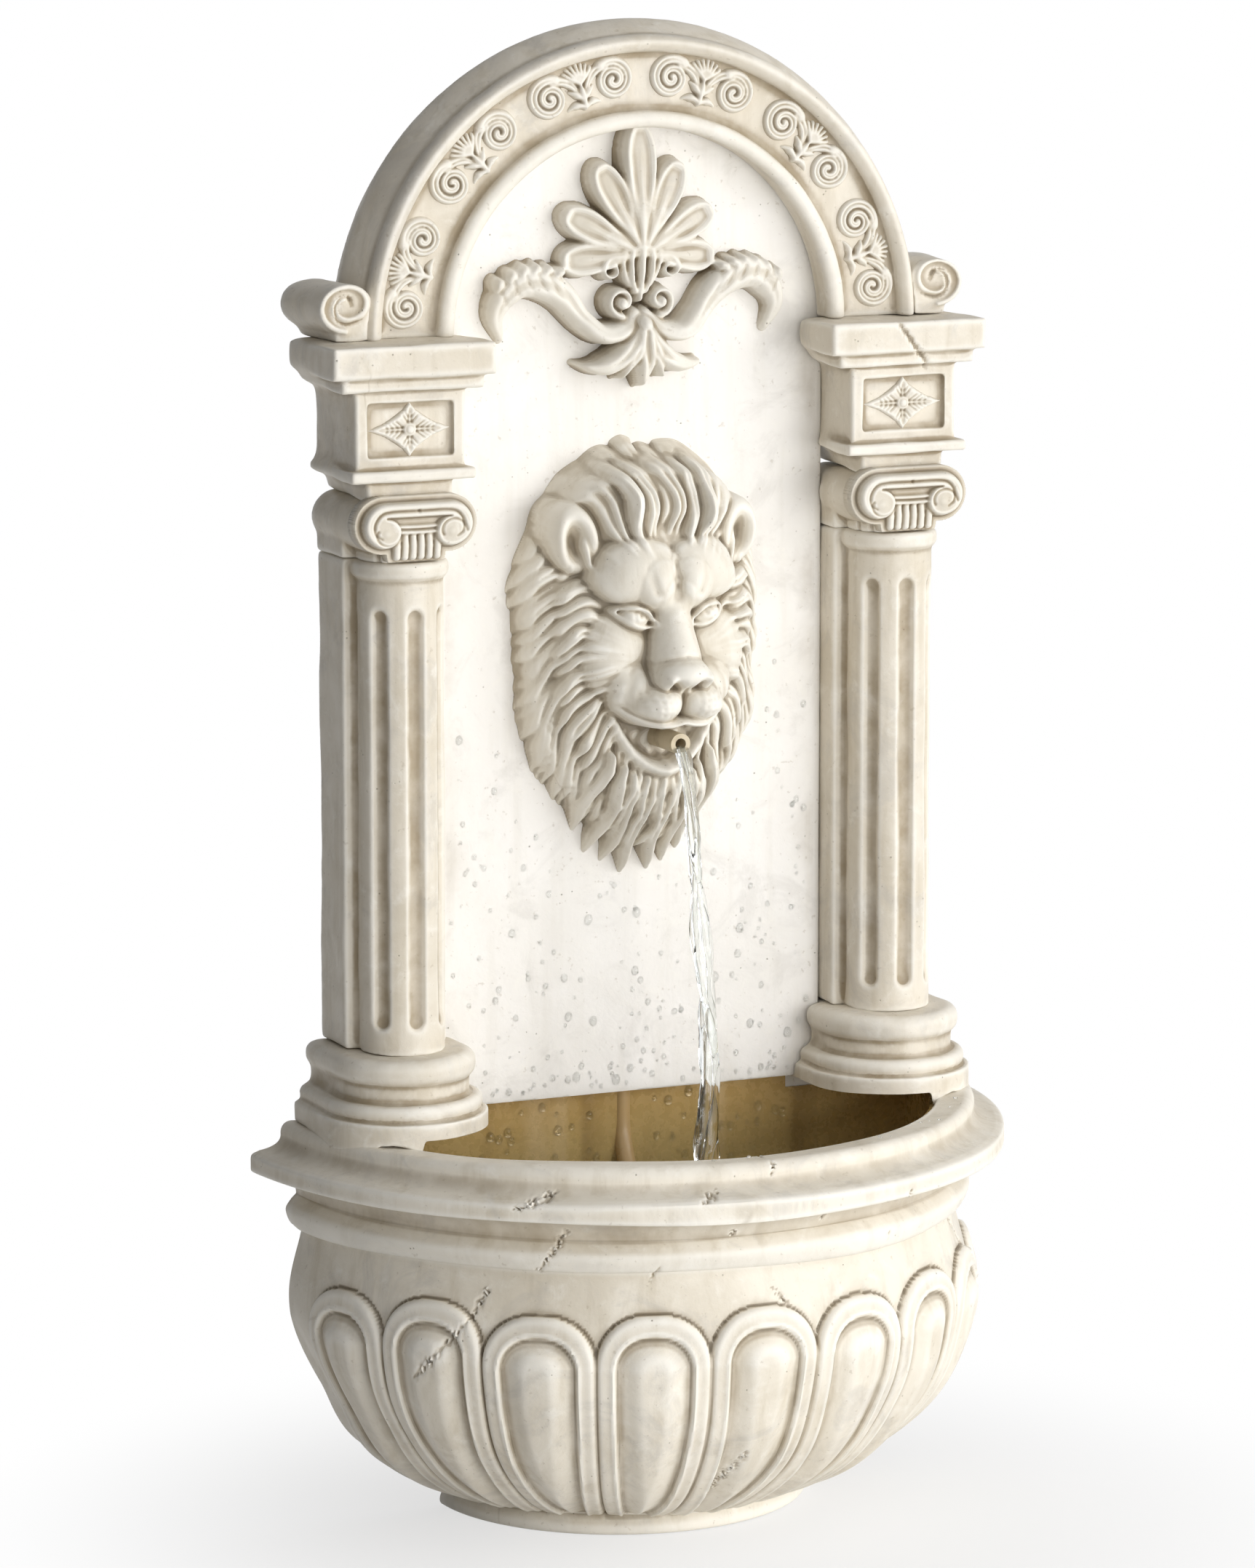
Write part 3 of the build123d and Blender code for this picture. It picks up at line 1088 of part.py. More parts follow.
# Intake strainer: slotted box that pulls off the pump's front
with BuildPart() as intake_strainer:
    with BuildSketch(wall_plane(PUMP_FRONT)):
        with Locations((0, PUMP_AXIS)):
            RectangleRounded(PUMP_WIDTH, PUMP_HEIGHT, PUMP_ROUND)
    extrude(amount=STRAINER_DEPTH)
    with BuildSketch(wall_plane(PUMP_FRONT)):
        with Locations((0, PUMP_AXIS)):
            RectangleRounded(PUMP_WIDTH - 2 * PUMP_WALL, PUMP_HEIGHT - 2 * PUMP_WALL, PUMP_ROUND - PUMP_WALL)
    extrude(amount=STRAINER_DEPTH - PUMP_WALL, mode=Mode.SUBTRACT)
    with BuildSketch(Plane.XY.offset(PUMP_AXIS)):
        with Locations((0, WALL_Y - (PUMP_FRONT + NOZZLE_REACH) / 2)):
            Rectangle(2 * (BARB_RADIUS + FIT), NOZZLE_REACH - PUMP_FRONT)
        with Locations((0, WALL_Y - NOZZLE_REACH)):
            Circle(BARB_RADIUS + FIT)
    extrude(amount=PUMP_HEIGHT, mode=Mode.SUBTRACT)
    with BuildSketch(wall_plane(STRAINER_FRONT - PUMP_WALL)):
        for side in (-1, 1):
            with Locations((side * SLOT_SIDE, PUMP_AXIS)):
                with GridLocations(SLOT_PITCH, SLOT_PITCH, STRAINER_SLOTS, 1):
                    SlotOverall(SLOT_HEIGHT, SLOT_WIDTH, rotation=90)
    extrude(amount=PUMP_WALL, mode=Mode.SUBTRACT)
    pin_hole = rod(0, PUMP_AXIS, DIAL_PIN + RUN_CLEARANCE, STRAINER_FRONT - PUMP_WALL, STRAINER_FRONT)
    add(pin_hole, mode=Mode.SUBTRACT)
save(intake_strainer, "intake_strainer")

# Flow dial: knob with a pointer ridge on a pin through the strainer's front
dial_back = STRAINER_FRONT + FIT
with BuildPart() as flow_dial:
    with BuildSketch(wall_plane(dial_back)):
        with Locations((0, PUMP_AXIS)):
            Circle(DIAL_RADIUS)
    extrude(amount=DIAL_THICK)
    with BuildSketch(wall_plane(dial_back)):
        with Locations((0, PUMP_AXIS)):
            Rectangle(POINTER_WIDTH, 2 * DIAL_RADIUS - POINTER_WIDTH)
    extrude(amount=DIAL_THICK + POINTER_WIDTH)
    with BuildSketch(wall_plane(STRAINER_FRONT - PUMP_WALL - FIT)):
        with Locations((0, PUMP_AXIS)):
            Circle(DIAL_PIN)
    extrude(amount=PUMP_WALL + 2 * FIT)
    with BuildSketch(wall_plane(STRAINER_FRONT - 2 * PUMP_WALL - FIT)):
        with Locations((0, PUMP_AXIS)):
            Circle(DIAL_HEAD)
    extrude(amount=PUMP_WALL)
save(flow_dial, "flow_dial")
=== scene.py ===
"""Looks of a half-round garden wall fountain in ivory cast stone with a lion mask that spouts water."""
import logging
import math
from contextlib import contextmanager
from dataclasses import dataclass, field
from enum import Enum
from functools import partial
from typing import Callable, Iterator, Sequence

import bpy
import numpy as np
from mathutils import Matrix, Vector


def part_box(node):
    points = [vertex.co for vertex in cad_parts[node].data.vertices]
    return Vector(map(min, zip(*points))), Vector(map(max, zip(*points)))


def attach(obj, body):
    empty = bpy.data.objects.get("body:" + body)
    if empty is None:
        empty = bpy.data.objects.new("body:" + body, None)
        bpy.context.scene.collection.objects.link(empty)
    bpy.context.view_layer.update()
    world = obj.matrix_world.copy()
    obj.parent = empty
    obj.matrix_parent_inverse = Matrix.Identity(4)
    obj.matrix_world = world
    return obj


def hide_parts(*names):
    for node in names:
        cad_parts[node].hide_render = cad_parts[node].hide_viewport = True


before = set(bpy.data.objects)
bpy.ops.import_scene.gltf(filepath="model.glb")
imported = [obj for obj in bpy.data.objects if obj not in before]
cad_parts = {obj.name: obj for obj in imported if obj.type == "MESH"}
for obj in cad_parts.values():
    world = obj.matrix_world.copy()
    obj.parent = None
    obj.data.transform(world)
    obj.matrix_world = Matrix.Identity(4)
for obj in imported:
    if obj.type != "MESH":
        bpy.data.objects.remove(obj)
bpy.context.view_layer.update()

log = logging.getLogger("fountain")

MM = 0.001
# Points nearer than this count as one, in metres.
TOUCH = 1e-6
# Keeps a division from meeting zero.
TINY = 1e-9
# Least half width of a carved shape, in millimetres.
THIN = 1e-3
# A level under every carving, for where a shape has no surface.
NOTHING = -99.0
BODY = "fountain"
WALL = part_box("back_panel")[1].y
PANEL_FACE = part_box("back_panel")[0].y
SIDES = (-1, 1)
ARCH_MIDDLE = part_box("archivolt")[0].z
ARCH_SQUASH = 0.972

Point = tuple[float, float]
Colour = tuple[float, float, float, float]
Array = np.ndarray
Piece = bpy.types.Object
Material = bpy.types.Material
Socket = bpy.types.NodeSocket
Window = tuple[slice, slice]
Amounts = float | Sequence[float]
Placing = Callable[[Array, Array, Array], Array]
Reshaping = Callable[[Array], Array]


def srgb(red: int, green: int, blue: int) -> Colour:
    """Turn a screen colour of 0 to 255 into the linear colour that shaders take.

    Args:
        red: Red share.
        green: Green share.
        blue: Blue share.

    Returns:
        The linear colour with full alpha.
    """
    shares = [channel / 255 for channel in (red, green, blue)]
    linear = [s / 12.92 if s <= 0.04045 else ((s + 0.055) / 1.055) ** 2.4 for s in shares]
    return (linear[0], linear[1], linear[2], 1.0)


def ease(low: float, high: float, value: Array) -> Array:
    """Rise smoothly from 0 at low to 1 at high.

    Args:
        low: Where the rise starts.
        high: Where the rise ends.
        value: Values to map.

    Returns:
        The mapped values.
    """
    share = np.clip((value - low) / (high - low), 0, 1)
    return share * share * (3 - 2 * share)


def deselect() -> None:
    """Leave edit mode and select nothing."""
    if bpy.context.object and bpy.context.object.mode != "OBJECT":
        bpy.ops.object.mode_set(mode="OBJECT")
    bpy.ops.object.select_all(action="DESELECT")


def pick(piece: Piece) -> None:
    """Select one piece alone and make it active."""
    deselect()
    bpy.context.view_layer.objects.active = piece
    piece.select_set(True)


@contextmanager
def editing(piece: Piece, mask: Array | None = None) -> Iterator[None]:
    """Edit a piece with the masked vertices selected, or with all of them.

    Args:
        piece: The mesh object to edit.
        mask: One truth value for each vertex.
    """
    pick(piece)
    mesh = piece.data
    chosen = np.ones(len(mesh.vertices), bool) if mask is None else mask
    mesh.polygons.foreach_set("select", np.zeros(len(mesh.polygons), bool))
    mesh.edges.foreach_set("select", np.zeros(len(mesh.edges), bool))
    mesh.vertices.foreach_set("select", chosen)
    bpy.ops.object.mode_set(mode="EDIT")
    bpy.ops.mesh.select_mode(type="VERT")
    yield
    bpy.ops.object.mode_set(mode="OBJECT")


def read_places(piece: Piece) -> Array:
    """Give the vertex places of a piece as rows of x, y and z."""
    places = np.empty(len(piece.data.vertices) * 3)
    piece.data.vertices.foreach_get("co", places)
    return places.reshape(-1, 3)


def read_edges(piece: Piece) -> Array:
    """Give the vertex numbers at the first and at the second end of each edge, as two rows."""
    ends = np.empty(len(piece.data.edges) * 2, int)
    piece.data.edges.foreach_get("vertices", ends)
    return ends.reshape(-1, 2).T


def write_places(piece: Piece, places: Array) -> None:
    """Move the vertices of a piece to the given rows of x, y and z."""
    piece.data.vertices.foreach_set("co", np.ascontiguousarray(places, float).ravel())
    piece.data.update()


def finish_with(piece: Piece, kind: str, **settings: object) -> None:
    """Add one modifier to a piece and apply it.

    Args:
        piece: The mesh object.
        kind: Blender's name for the modifier.
        settings: Values for the modifier's own fields.
    """
    pick(piece)
    modifier = piece.modifiers.new(kind.title(), kind)
    for key, value in settings.items():
        setattr(modifier, key, value)
    bpy.ops.object.modifier_apply(modifier=modifier.name)


def clouds(name: str, size: float) -> bpy.types.Texture:
    """Give a soft noise texture for displacing castings, made once for each name.

    Args:
        name: The texture's name.
        size: Size of its swellings in metres.

    Returns:
        The texture.
    """
    texture = bpy.data.textures.get(name) or bpy.data.textures.new(name, "CLOUDS")
    texture.noise_scale = size
    texture.noise_depth = 2
    return texture


def grid_sheet(name: str, columns: int, rows: int, place: Callable[[Array, Array], Array]) -> Piece:
    """Add a flat grid and lay its points where a function says.

    Args:
        name: The piece's name.
        columns: Points across.
        rows: Points up.
        place: Takes the column and row number of each point and returns rows of x, y and z.

    Returns:
        The new piece.
    """
    deselect()
    bpy.ops.mesh.primitive_grid_add(x_subdivisions=columns - 1, y_subdivisions=rows - 1, size=2)
    piece = bpy.context.object
    piece.name = name
    piece.data.name = name
    flat = read_places(piece)
    column = np.rint((flat[:, 0] + 1) / 2 * (columns - 1)).astype(int)
    row = np.rint((flat[:, 1] + 1) / 2 * (rows - 1)).astype(int)
    write_places(piece, place(column, row))
    return piece


def weld(piece: Piece) -> None:
    """Merge points that lie on each other."""
    with editing(piece):
        bpy.ops.mesh.remove_doubles(threshold=TOUCH)


def fill(piece: Piece, mask: Array) -> None:
    """Close the loop of the masked points with a face."""
    with editing(piece, mask):
        bpy.ops.mesh.edge_face_add()


def close_back(piece: Piece, depth: float) -> None:
    """Run the open edge of a sheet straight back to a depth and close it there.

    Args:
        piece: The open sheet.
        depth: The y at which it is closed.
    """
    with editing(piece):
        bpy.ops.mesh.region_to_loop()
        bpy.ops.mesh.extrude_edges_move()
    places = read_places(piece)
    chosen = np.zeros(len(places), bool)
    piece.data.vertices.foreach_get("select", chosen)
    places[chosen, 1] = depth
    write_places(piece, places)
    fill(piece, chosen)
    face_outwards(piece)


def join(pieces: Sequence[Piece], name: str) -> Piece:
    """Make one piece of several.

    Args:
        pieces: The pieces, of which the first takes up the others.
        name: The name of the whole.

    Returns:
        The whole.
    """
    deselect()
    for piece in pieces:
        piece.select_set(True)
    bpy.context.view_layer.objects.active = pieces[0]
    bpy.ops.object.join()
    pieces[0].name = name
    return pieces[0]


def face_outwards(piece: Piece) -> None:
    """Merge doubles and turn all faces of a piece outwards."""
    weld(piece)
    with editing(piece):
        bpy.ops.mesh.normals_make_consistent(inside=False)


def neighbour_mean(places: Array, first: Array, second: Array, rounds: int) -> Array:
    """Smooth points towards their neighbours for some rounds.

    Args:
        places: Rows of x, y and z.
        first: One end of each edge.
        second: The other end of each edge.
        rounds: How often to smooth.

    Returns:
        The smoothed points.
    """
    count = len(places)
    degree = np.bincount(first, minlength=count) + np.bincount(second, minlength=count)
    soft = places.copy()
    for _ in range(rounds):
        total = np.stack([np.bincount(first, soft[second, axis], count)
                          + np.bincount(second, soft[first, axis], count) for axis in range(3)], 1)
        soft = 0.5 * soft + 0.5 * total / np.maximum(degree, 1)[:, None]
    return soft


def mark_recesses(piece: Piece, fine: float = 1.6 * MM, broad: float = 5 * MM,
                  wash_and_shade: Reshaping | None = None) -> None:
    """Store how deep each point lies below its surroundings, for the antique wash in hollows.

    Args:
        piece: The mesh object, which gets a recess attribute: above 0 in hollows, below 0 on edges.
        fine: Reach of the narrow look round.
        broad: Reach of the wide look round.
        wash_and_shade: More wash and painted shade by place, if any.
    """
    mesh = piece.data
    places = read_places(piece)
    normals = np.empty(len(places) * 3)
    mesh.vertex_normals.foreach_get("vector", normals)
    normals = normals.reshape(-1, 3)
    first, second = read_edges(piece)
    edge = np.median(np.linalg.norm(places[first] - places[second], axis=1))
    depth = np.zeros(len(places))
    for reach in (fine, broad):
        rounds = int(np.clip((reach / edge) ** 2 * 2, 3, 90))
        soft = neighbour_mean(places, first, second, rounds)
        depth += ((soft - places) * normals).sum(1) / reach
    # Painted shade and wash given by place are added to the hollows' depth here.
    if wash_and_shade:
        depth += wash_and_shade(places)
    depth[places[:, 1] > WALL - 0.5 * MM] = 0.0
    attribute = mesh.attributes.new("recess", "FLOAT", "POINT")
    attribute.data.foreach_set("value", depth.astype(np.float32))


def settle(piece: Piece, material: Material,
           stands_for: Sequence[str] = (), body: str = BODY, angle: float = 60.0) -> Piece:
    """Shade, dress and mount a finished piece.

    Args:
        piece: The mesh object.
        material: Its finish.
        stands_for: CAD nodes that it replaces.
        body: The body it rides on.
        angle: Edges sharper than this stay crisp, in degrees.

    Returns:
        The piece.
    """
    pick(piece)
    bpy.ops.object.shade_smooth_by_angle(angle=math.radians(angle))
    piece.data.materials.clear()
    piece.data.materials.append(material)
    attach(piece, body)
    if stands_for:
        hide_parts(*stands_for)
    log.info("%s: %d faces", piece.name, len(piece.data.polygons))
    return piece


class Nodes:
    """A node tree, with short calls to add and join nodes."""

    def __init__(self, tree: bpy.types.NodeTree) -> None:
        """Take the tree to work in."""
        self.tree = tree

    def add(self, kind: str, **settings: object) -> bpy.types.Node:
        """Add a node and set its own fields."""
        node = self.tree.nodes.new(kind)
        for key, value in settings.items():
            setattr(node, key, value)
        return node

    def join(self, value: object, socket: Socket) -> None:
        """Link an output to a socket, or set a plain value on it."""
        if isinstance(value, Socket):
            self.tree.links.new(value, socket)
        else:
            socket.default_value = value

    def wire(self, node: bpy.types.Node, **values: object) -> bpy.types.Node:
        """Set or link a node's sockets by name, with underscores for spaces."""
        for key, value in values.items():
            self.join(value, node.inputs[key.replace("_", " ")])
        return node

    def sums(self, kind: str, first: object, second: object) -> Socket:
        """Join two numbers by one of Blender's operations.

        Args:
            kind: Blender's name for the operation.
            first: A number or an output.
            second: A number or an output.

        Returns:
            The result.
        """
        node = self.add("ShaderNodeMath", operation=kind)
        self.join(first, node.inputs[0])
        self.join(second, node.inputs[1])
        return node.outputs[0]

    def show_mix(self, share: Socket, first: bpy.types.Node, second: bpy.types.Node, end: str) -> None:
        """Show a mix of two shaders.

        Args:
            share: How much of the second shader there is.
            first: A shader.
            second: A shader.
            end: Name of the node that shows the result.
        """
        node = self.add("ShaderNodeMixShader")
        for value, socket in zip((share, first.outputs[0], second.outputs[0]), node.inputs):
            self.join(value, socket)
        self.join(node.outputs[0], self.tree.nodes[end].inputs["Surface"])


class Graph(Nodes):
    """A material's nodes round a plain shader."""

    def __init__(self, name: str) -> None:
        """Start a material with a plain shader."""
        self.material = bpy.data.materials.new(name)
        self.material.use_nodes = True
        super().__init__(self.material.node_tree)
        self.shader = self.tree.nodes["Principled BSDF"]
        self.places = self.add("ShaderNodeTexCoord").outputs["Object"]

    def stretched(self, scale: Sequence[float]) -> Socket:
        """Give object places scaled along each axis."""
        return self.wire(self.add("ShaderNodeMapping"), Vector=self.places, Scale=scale).outputs["Vector"]

    def noise(self, scale: float, detail: float = 4.0, rough: float = 0.55, distort: float = 0.0,
              places: Socket | None = None) -> Socket:
        """Give soft noise of a scale in waves per metre, at the object's places or at others."""
        node = self.wire(self.add("ShaderNodeTexNoise"), Vector=places or self.places, Scale=scale,
                         Detail=detail, Roughness=rough, Distortion=distort)
        return node.outputs["Fac"]

    def cells(self, scale: float, feature: str = "F1", places: Socket | None = None) -> Socket:
        """Give the distance to scattered points, or to the borders between them."""
        node = self.add("ShaderNodeTexVoronoi", feature=feature)
        return self.wire(node, Vector=places or self.places, Scale=scale).outputs["Distance"]

    def attribute(self, name: str) -> Socket:
        """Give a number stored on the mesh."""
        return self.add("ShaderNodeAttribute", attribute_name=name).outputs["Fac"]

    def span(self, value: Socket, low: float, high: float, start: float = 0.0,
             end: float = 1.0) -> Socket:
        """Map a value from low..high to start..end with a soft, clamped rise."""
        node = self.wire(self.add("ShaderNodeMapRange", interpolation_type="SMOOTHSTEP"), Value=value,
                         From_Min=low, From_Max=high, To_Min=start, To_Max=end)
        return node.outputs["Result"]

    def times(self, first: object, second: object) -> Socket:
        """Multiply two numbers."""
        return self.sums("MULTIPLY", first, second)

    def mix(self, share: object, first: object, second: object) -> Socket:
        """Mix two colours.

        Args:
            share: How much of the second colour there is.
            first: A colour or an output.
            second: A colour or an output.

        Returns:
            The mixed colour.
        """
        node = self.add("ShaderNodeMix", data_type="RGBA", blend_type="MIX")
        self.join(share, node.inputs["Factor"])
        self.join(first, node.inputs[6])
        self.join(second, node.inputs[7])
        return node.outputs[2]

    def bump(self, layers: Sequence[tuple[Socket, float, float]]) -> None:
        """Stack bumps on the shader.

        Args:
            layers: For each bump, its height, its strength and its depth in metres.
        """
        under = None
        for height, strength, depth in layers:
            node = self.wire(self.add("ShaderNodeBump"), Strength=strength, Distance=depth, Height=height)
            if under:
                self.join(under, node.inputs["Normal"])
            under = node.outputs["Normal"]
        self.join(under, self.shader.inputs["Normal"])

    def feed(self, **values: object) -> Material:
        """Set or link the shader's sockets by name, with underscores for spaces."""
        self.wire(self.shader, **values)
        return self.material


@dataclass(frozen=True)
class StoneFinish:
    """Ivory cast stone with a brown-grey wash left in its hollows."""

    name: str
    body: Colour
    cloud: Colour = srgb(200, 189, 168)
    pale: Colour = srgb(246, 243, 235)
    wash: Colour = srgb(150, 133, 105)
    deep: Colour = srgb(104, 90, 68)
    grey: Colour = srgb(186, 181, 173)
    wash_share: float = 0.85
    cloud_share: float = 0.55
    grey_share: float = 0.38
    gloss: float = 0.44
    cracks: float = 0.25

    def material(self) -> Material:
        """Build the stone's nodes.

        Returns:
            The finish.
        """
        g = Graph(self.name)
        recess = g.attribute("recess")
        broad = g.noise(16, 5, 0.6, 0.6)
        mottle = g.noise(70, 5, 0.65, 0.4)
        grain = g.noise(620, 3, 0.6)
        streaks = g.noise(9, 5, 0.6, 0.3, g.stretched((9.0, 9.0, 0.9)))
        colour = g.mix(g.times(g.span(broad, 0.42, 0.68), self.cloud_share), self.body, self.cloud)
        colour = g.mix(g.times(g.span(streaks, 0.48, 0.70), 0.5), colour, self.cloud)
        handled = g.span(g.noise(21, 6, 0.68, 1.2), 0.50, 0.68)
        colour = g.mix(g.times(handled, self.grey_share), colour, self.grey)
        colour = g.mix(g.times(g.span(mottle, 0.52, 0.75), 0.45), colour, self.pale)
        worn = g.span(g.times(recess, -1.0), 0.03, 0.30, 0.0, 0.55)
        colour = g.mix(worn, colour, self.pale)
        patchy = g.span(g.noise(38, 4, 0.6), 0.30, 0.66, 0.45, 1.0)
        settled = g.times(g.span(recess, 0.008, 0.20), patchy)
        colour = g.mix(g.times(settled, self.wash_share), colour, self.wash)
        colour = g.mix(g.times(g.span(recess, 0.24, 0.62), 0.6), colour, self.deep)
        pits = g.span(g.cells(210), 0.05, 0.13, 1.0, 0.0)
        rare = g.span(g.noise(55, 2), 0.56, 0.66)
        pits = g.times(pits, rare)
        colour = g.mix(g.times(pits, 0.55), colour, self.deep)
        hair = g.span(g.cells(13, "DISTANCE_TO_EDGE", g.stretched((1.0, 1.0, 0.7))), 0.0, 0.012, 1.0, 0.0)
        hair = g.times(hair, g.span(g.noise(11, 3), 0.60, 0.68))
        hair = g.times(hair, self.cracks)
        colour = g.mix(hair, colour, self.wash)
        speck = g.span(g.noise(300, 2), 0.66, 0.76, 0.0, 0.25)
        colour = g.mix(speck, colour, self.wash)
        rough = g.span(mottle, 0.3, 0.75, self.gloss - 0.06, self.gloss + 0.16)
        g.bump([(broad, 0.45, 2 * MM), (mottle, 0.42, 0.9 * MM), (grain, 0.22, 0.25 * MM),
                (g.times(g.sums("ADD", pits, hair), -1.0), 0.7, 0.5 * MM)])
        return g.feed(Base_Color=colour, Roughness=rough, Specular_IOR_Level=0.30)


@dataclass(frozen=True)
class LinerFinish:
    """Bronze-coloured waterproof coat inside the basin, olive where it stays wet, with painted upright
    streaks of reflection.
    """

    name: str = "bronze_coat"
    upper: Colour = srgb(184, 150, 90)
    lower: Colour = srgb(208, 188, 130)
    light: Colour = srgb(236, 212, 170)
    stain: Colour = srgb(126, 98, 54)
    wet_line: float = 0.205

    def material(self) -> Material:
        """Build the coat's nodes.

        Returns:
            The finish.
        """
        g = Graph(self.name)
        height = g.add("ShaderNodeSeparateXYZ")
        g.join(g.places, height.inputs[0])
        ragged = g.sums("ADD", height.outputs["Z"], g.times(g.noise(24, 4), 0.03))
        low = g.span(ragged, self.wet_line - 0.05, self.wet_line + 0.05, 1.0, 0.0)
        colour = g.mix(low, self.upper, self.lower)
        # Long upright streaks: the light ones are painted reflections on the wet coat, the dark ones are
        # stains that ran down it.
        runs = g.noise(4, 2, 0.45, 0.2, g.stretched((6.0, 6.0, 0.4)))
        colour = g.mix(g.span(runs, 0.54, 0.72, 0.0, 0.6), colour, self.light)
        colour = g.mix(g.span(runs, 0.44, 0.26, 0.0, 0.7), colour, self.stain)
        fine = g.noise(180, 4)
        colour = g.mix(g.span(fine, 0.55, 0.75, 0.0, 0.10), colour, self.stain)
        g.bump([(g.noise(45, 3), 0.25, 1.2 * MM), (fine, 0.2, 0.3 * MM)])
        return g.feed(Base_Color=colour, Roughness=g.span(fine, 0.3, 0.7, 0.20, 0.36), Metallic=0.12,
                      Coat_Weight=0.4, Coat_Roughness=0.08)


@dataclass(frozen=True)
class WaterFinish:
    """Clear water."""

    name: str = "clear_water"
    tint: Colour = (0.97, 0.985, 0.98, 1.0)
    bend: float = 1.33
    waves: float = 0.10

    def material(self) -> Material:
        """Build the water's nodes.

        Returns:
            The finish.
        """
        g = Graph(self.name)
        g.bump([(g.noise(90, 2), self.waves, 1.0 * MM)])
        return g.feed(Base_Color=self.tint, Roughness=0.02, IOR=self.bend, Transmission_Weight=1.0)


@dataclass(frozen=True)
class MouldedFinish:
    """Moulded plastic or rubber with a fine grain and handling marks."""

    name: str
    body: Colour
    scuff: Colour
    gloss: float = 0.45
    grain: float = 900.0

    def material(self) -> Material:
        """Build the plastic's nodes.

        Returns:
            The finish.
        """
        g = Graph(self.name)
        broad = g.noise(60, 4, 0.6, 0.5)
        fine = g.noise(self.grain, 2)
        colour = g.mix(g.span(broad, 0.52, 0.74, 0.0, 0.6), self.body, self.scuff)
        g.bump([(fine, 0.25, 0.15 * MM)])
        rough = g.span(broad, 0.3, 0.7, self.gloss - 0.08, self.gloss + 0.1)
        return g.feed(Base_Color=colour, Roughness=rough)


@dataclass(frozen=True)
class MetalFinish:
    """Plated or tarnished metal with fine turning lines."""

    name: str
    body: Colour
    tarnish: Colour
    gloss: float = 0.32
    tarnish_share: float = 0.6

    def material(self) -> Material:
        """Build the metal's nodes.

        Returns:
            The finish.
        """
        g = Graph(self.name)
        blotch = g.noise(120, 5, 0.65, 0.5)
        lines = g.noise(60, 2, 0.5, 0.0, g.stretched((1.0, 14.0, 1.0)))
        colour = g.mix(g.span(blotch, 0.46, 0.70, 0.0, self.tarnish_share), self.body, self.tarnish)
        g.bump([(lines, 0.12, 0.1 * MM)])
        rough = g.span(blotch, 0.3, 0.7, self.gloss - 0.06, self.gloss + 0.2)
        return g.feed(Base_Color=colour, Roughness=rough, Metallic=1.0)


def curve_points(points: Sequence[Point], count: int) -> Array:
    """Run a smooth line through or along given points.

    Args:
        points: Two to four points of a Bezier curve, or five and more that the line passes through.
        count: How many points to give.

    Returns:
        Rows of two numbers along the line.
    """
    p = np.asarray(points, float)
    if len(p) <= 4:
        order = len(p) - 1
        t = np.linspace(0, 1, count)[:, None]
        return sum(math.comb(order, k) * (1 - t) ** (order - k) * t ** k * p[k] for k in range(order + 1))
    q = np.vstack([2 * p[0] - p[1], p, 2 * p[-1] - p[-2]])
    u = np.linspace(0, len(p) - 1, count)
    i = np.minimum(u.astype(int), len(p) - 2)
    f = (u - i)[:, None]
    a, b, c, d = q[i], q[i + 1], q[i + 2], q[i + 3]
    cubic = (3 * b - a - 3 * c + d) * f ** 3
    return 0.5 * (2 * b + (c - a) * f + (2 * a - 5 * b + 4 * c - d) * f ** 2 + cubic)


def spiral(centre: Point, outer: float, inner: float, start: float, turns: float,
           count: int = 40) -> list[Point]:
    """Wind a line in from an outer to an inner radius.

    Args:
        centre: The middle.
        outer: Radius at the start.
        inner: Radius at the end.
        start: First direction in degrees, from the first axis.
        turns: Turns to wind; below 0 winds clockwise.
        count: How many points to give.

    Returns:
        The points.
    """
    share = np.linspace(0, 1, count)
    radius = outer + (inner - outer) * share
    angle = math.radians(start) + 2 * math.pi * turns * share
    return [(centre[0] + r * math.cos(a), centre[1] + r * math.sin(a)) for r, a in zip(radius, angle)]


def chain(*runs: tuple[Sequence[Point], int]) -> Array:
    """Join lines end to end.

    Args:
        runs: For each line, its points as curve_points takes them and how many points to give.

    Returns:
        Rows of two numbers along the whole line, with each shared end once.
    """
    parts = [curve_points(points, count) for points, count in runs]
    return np.vstack([parts[0]] + [part[1:] for part in parts[1:]])


def round_wall(radius: Array, angle: Array, height: Array) -> Array:
    """Turn millimetres and radians about the middle of the wall into rows of x, y and z in metres."""
    return np.stack([radius * np.sin(angle) * MM, WALL - radius * np.cos(angle) * MM, height * MM], 1)


def along(values: Amounts, share: Array) -> Array:
    """Spread a value, or a row of values, over a share from 0 to 1."""
    row = np.atleast_1d(np.asarray(values, float))
    return np.interp(share, np.linspace(0, 1, len(row)), row)


def beside(path: Array, x: Array, z: Array) -> tuple[Array, Array]:
    """Find where points lie beside a path.

    Args:
        path: Rows of two numbers along the path.
        x: First place of each point.
        z: Second place of each point.

    Returns:
        The share along the path and the signed distance beside it.
    """
    steps = np.diff(path, axis=0)
    lengths = np.maximum(np.hypot(steps[:, 0], steps[:, 1]), TINY)
    starts = np.concatenate([[0], np.cumsum(lengths)])
    best = np.full(x.shape, 1e9)
    share = np.zeros_like(x)
    side = np.zeros_like(x)
    for k, (ux, uz) in enumerate(steps / lengths[:, None]):
        dx, dz = x - path[k, 0], z - path[k, 1]
        t = np.clip(dx * ux + dz * uz, 0, lengths[k])
        ex, ez = dx - t * ux, dz - t * uz
        d = ex * ex + ez * ez
        hit = d < best
        best[hit] = d[hit]
        share[hit] = (starts[k] + t[hit]) / starts[-1]
        side[hit] = np.sign(ux * ez[hit] - uz * ex[hit])
    return share, side * np.sqrt(best)


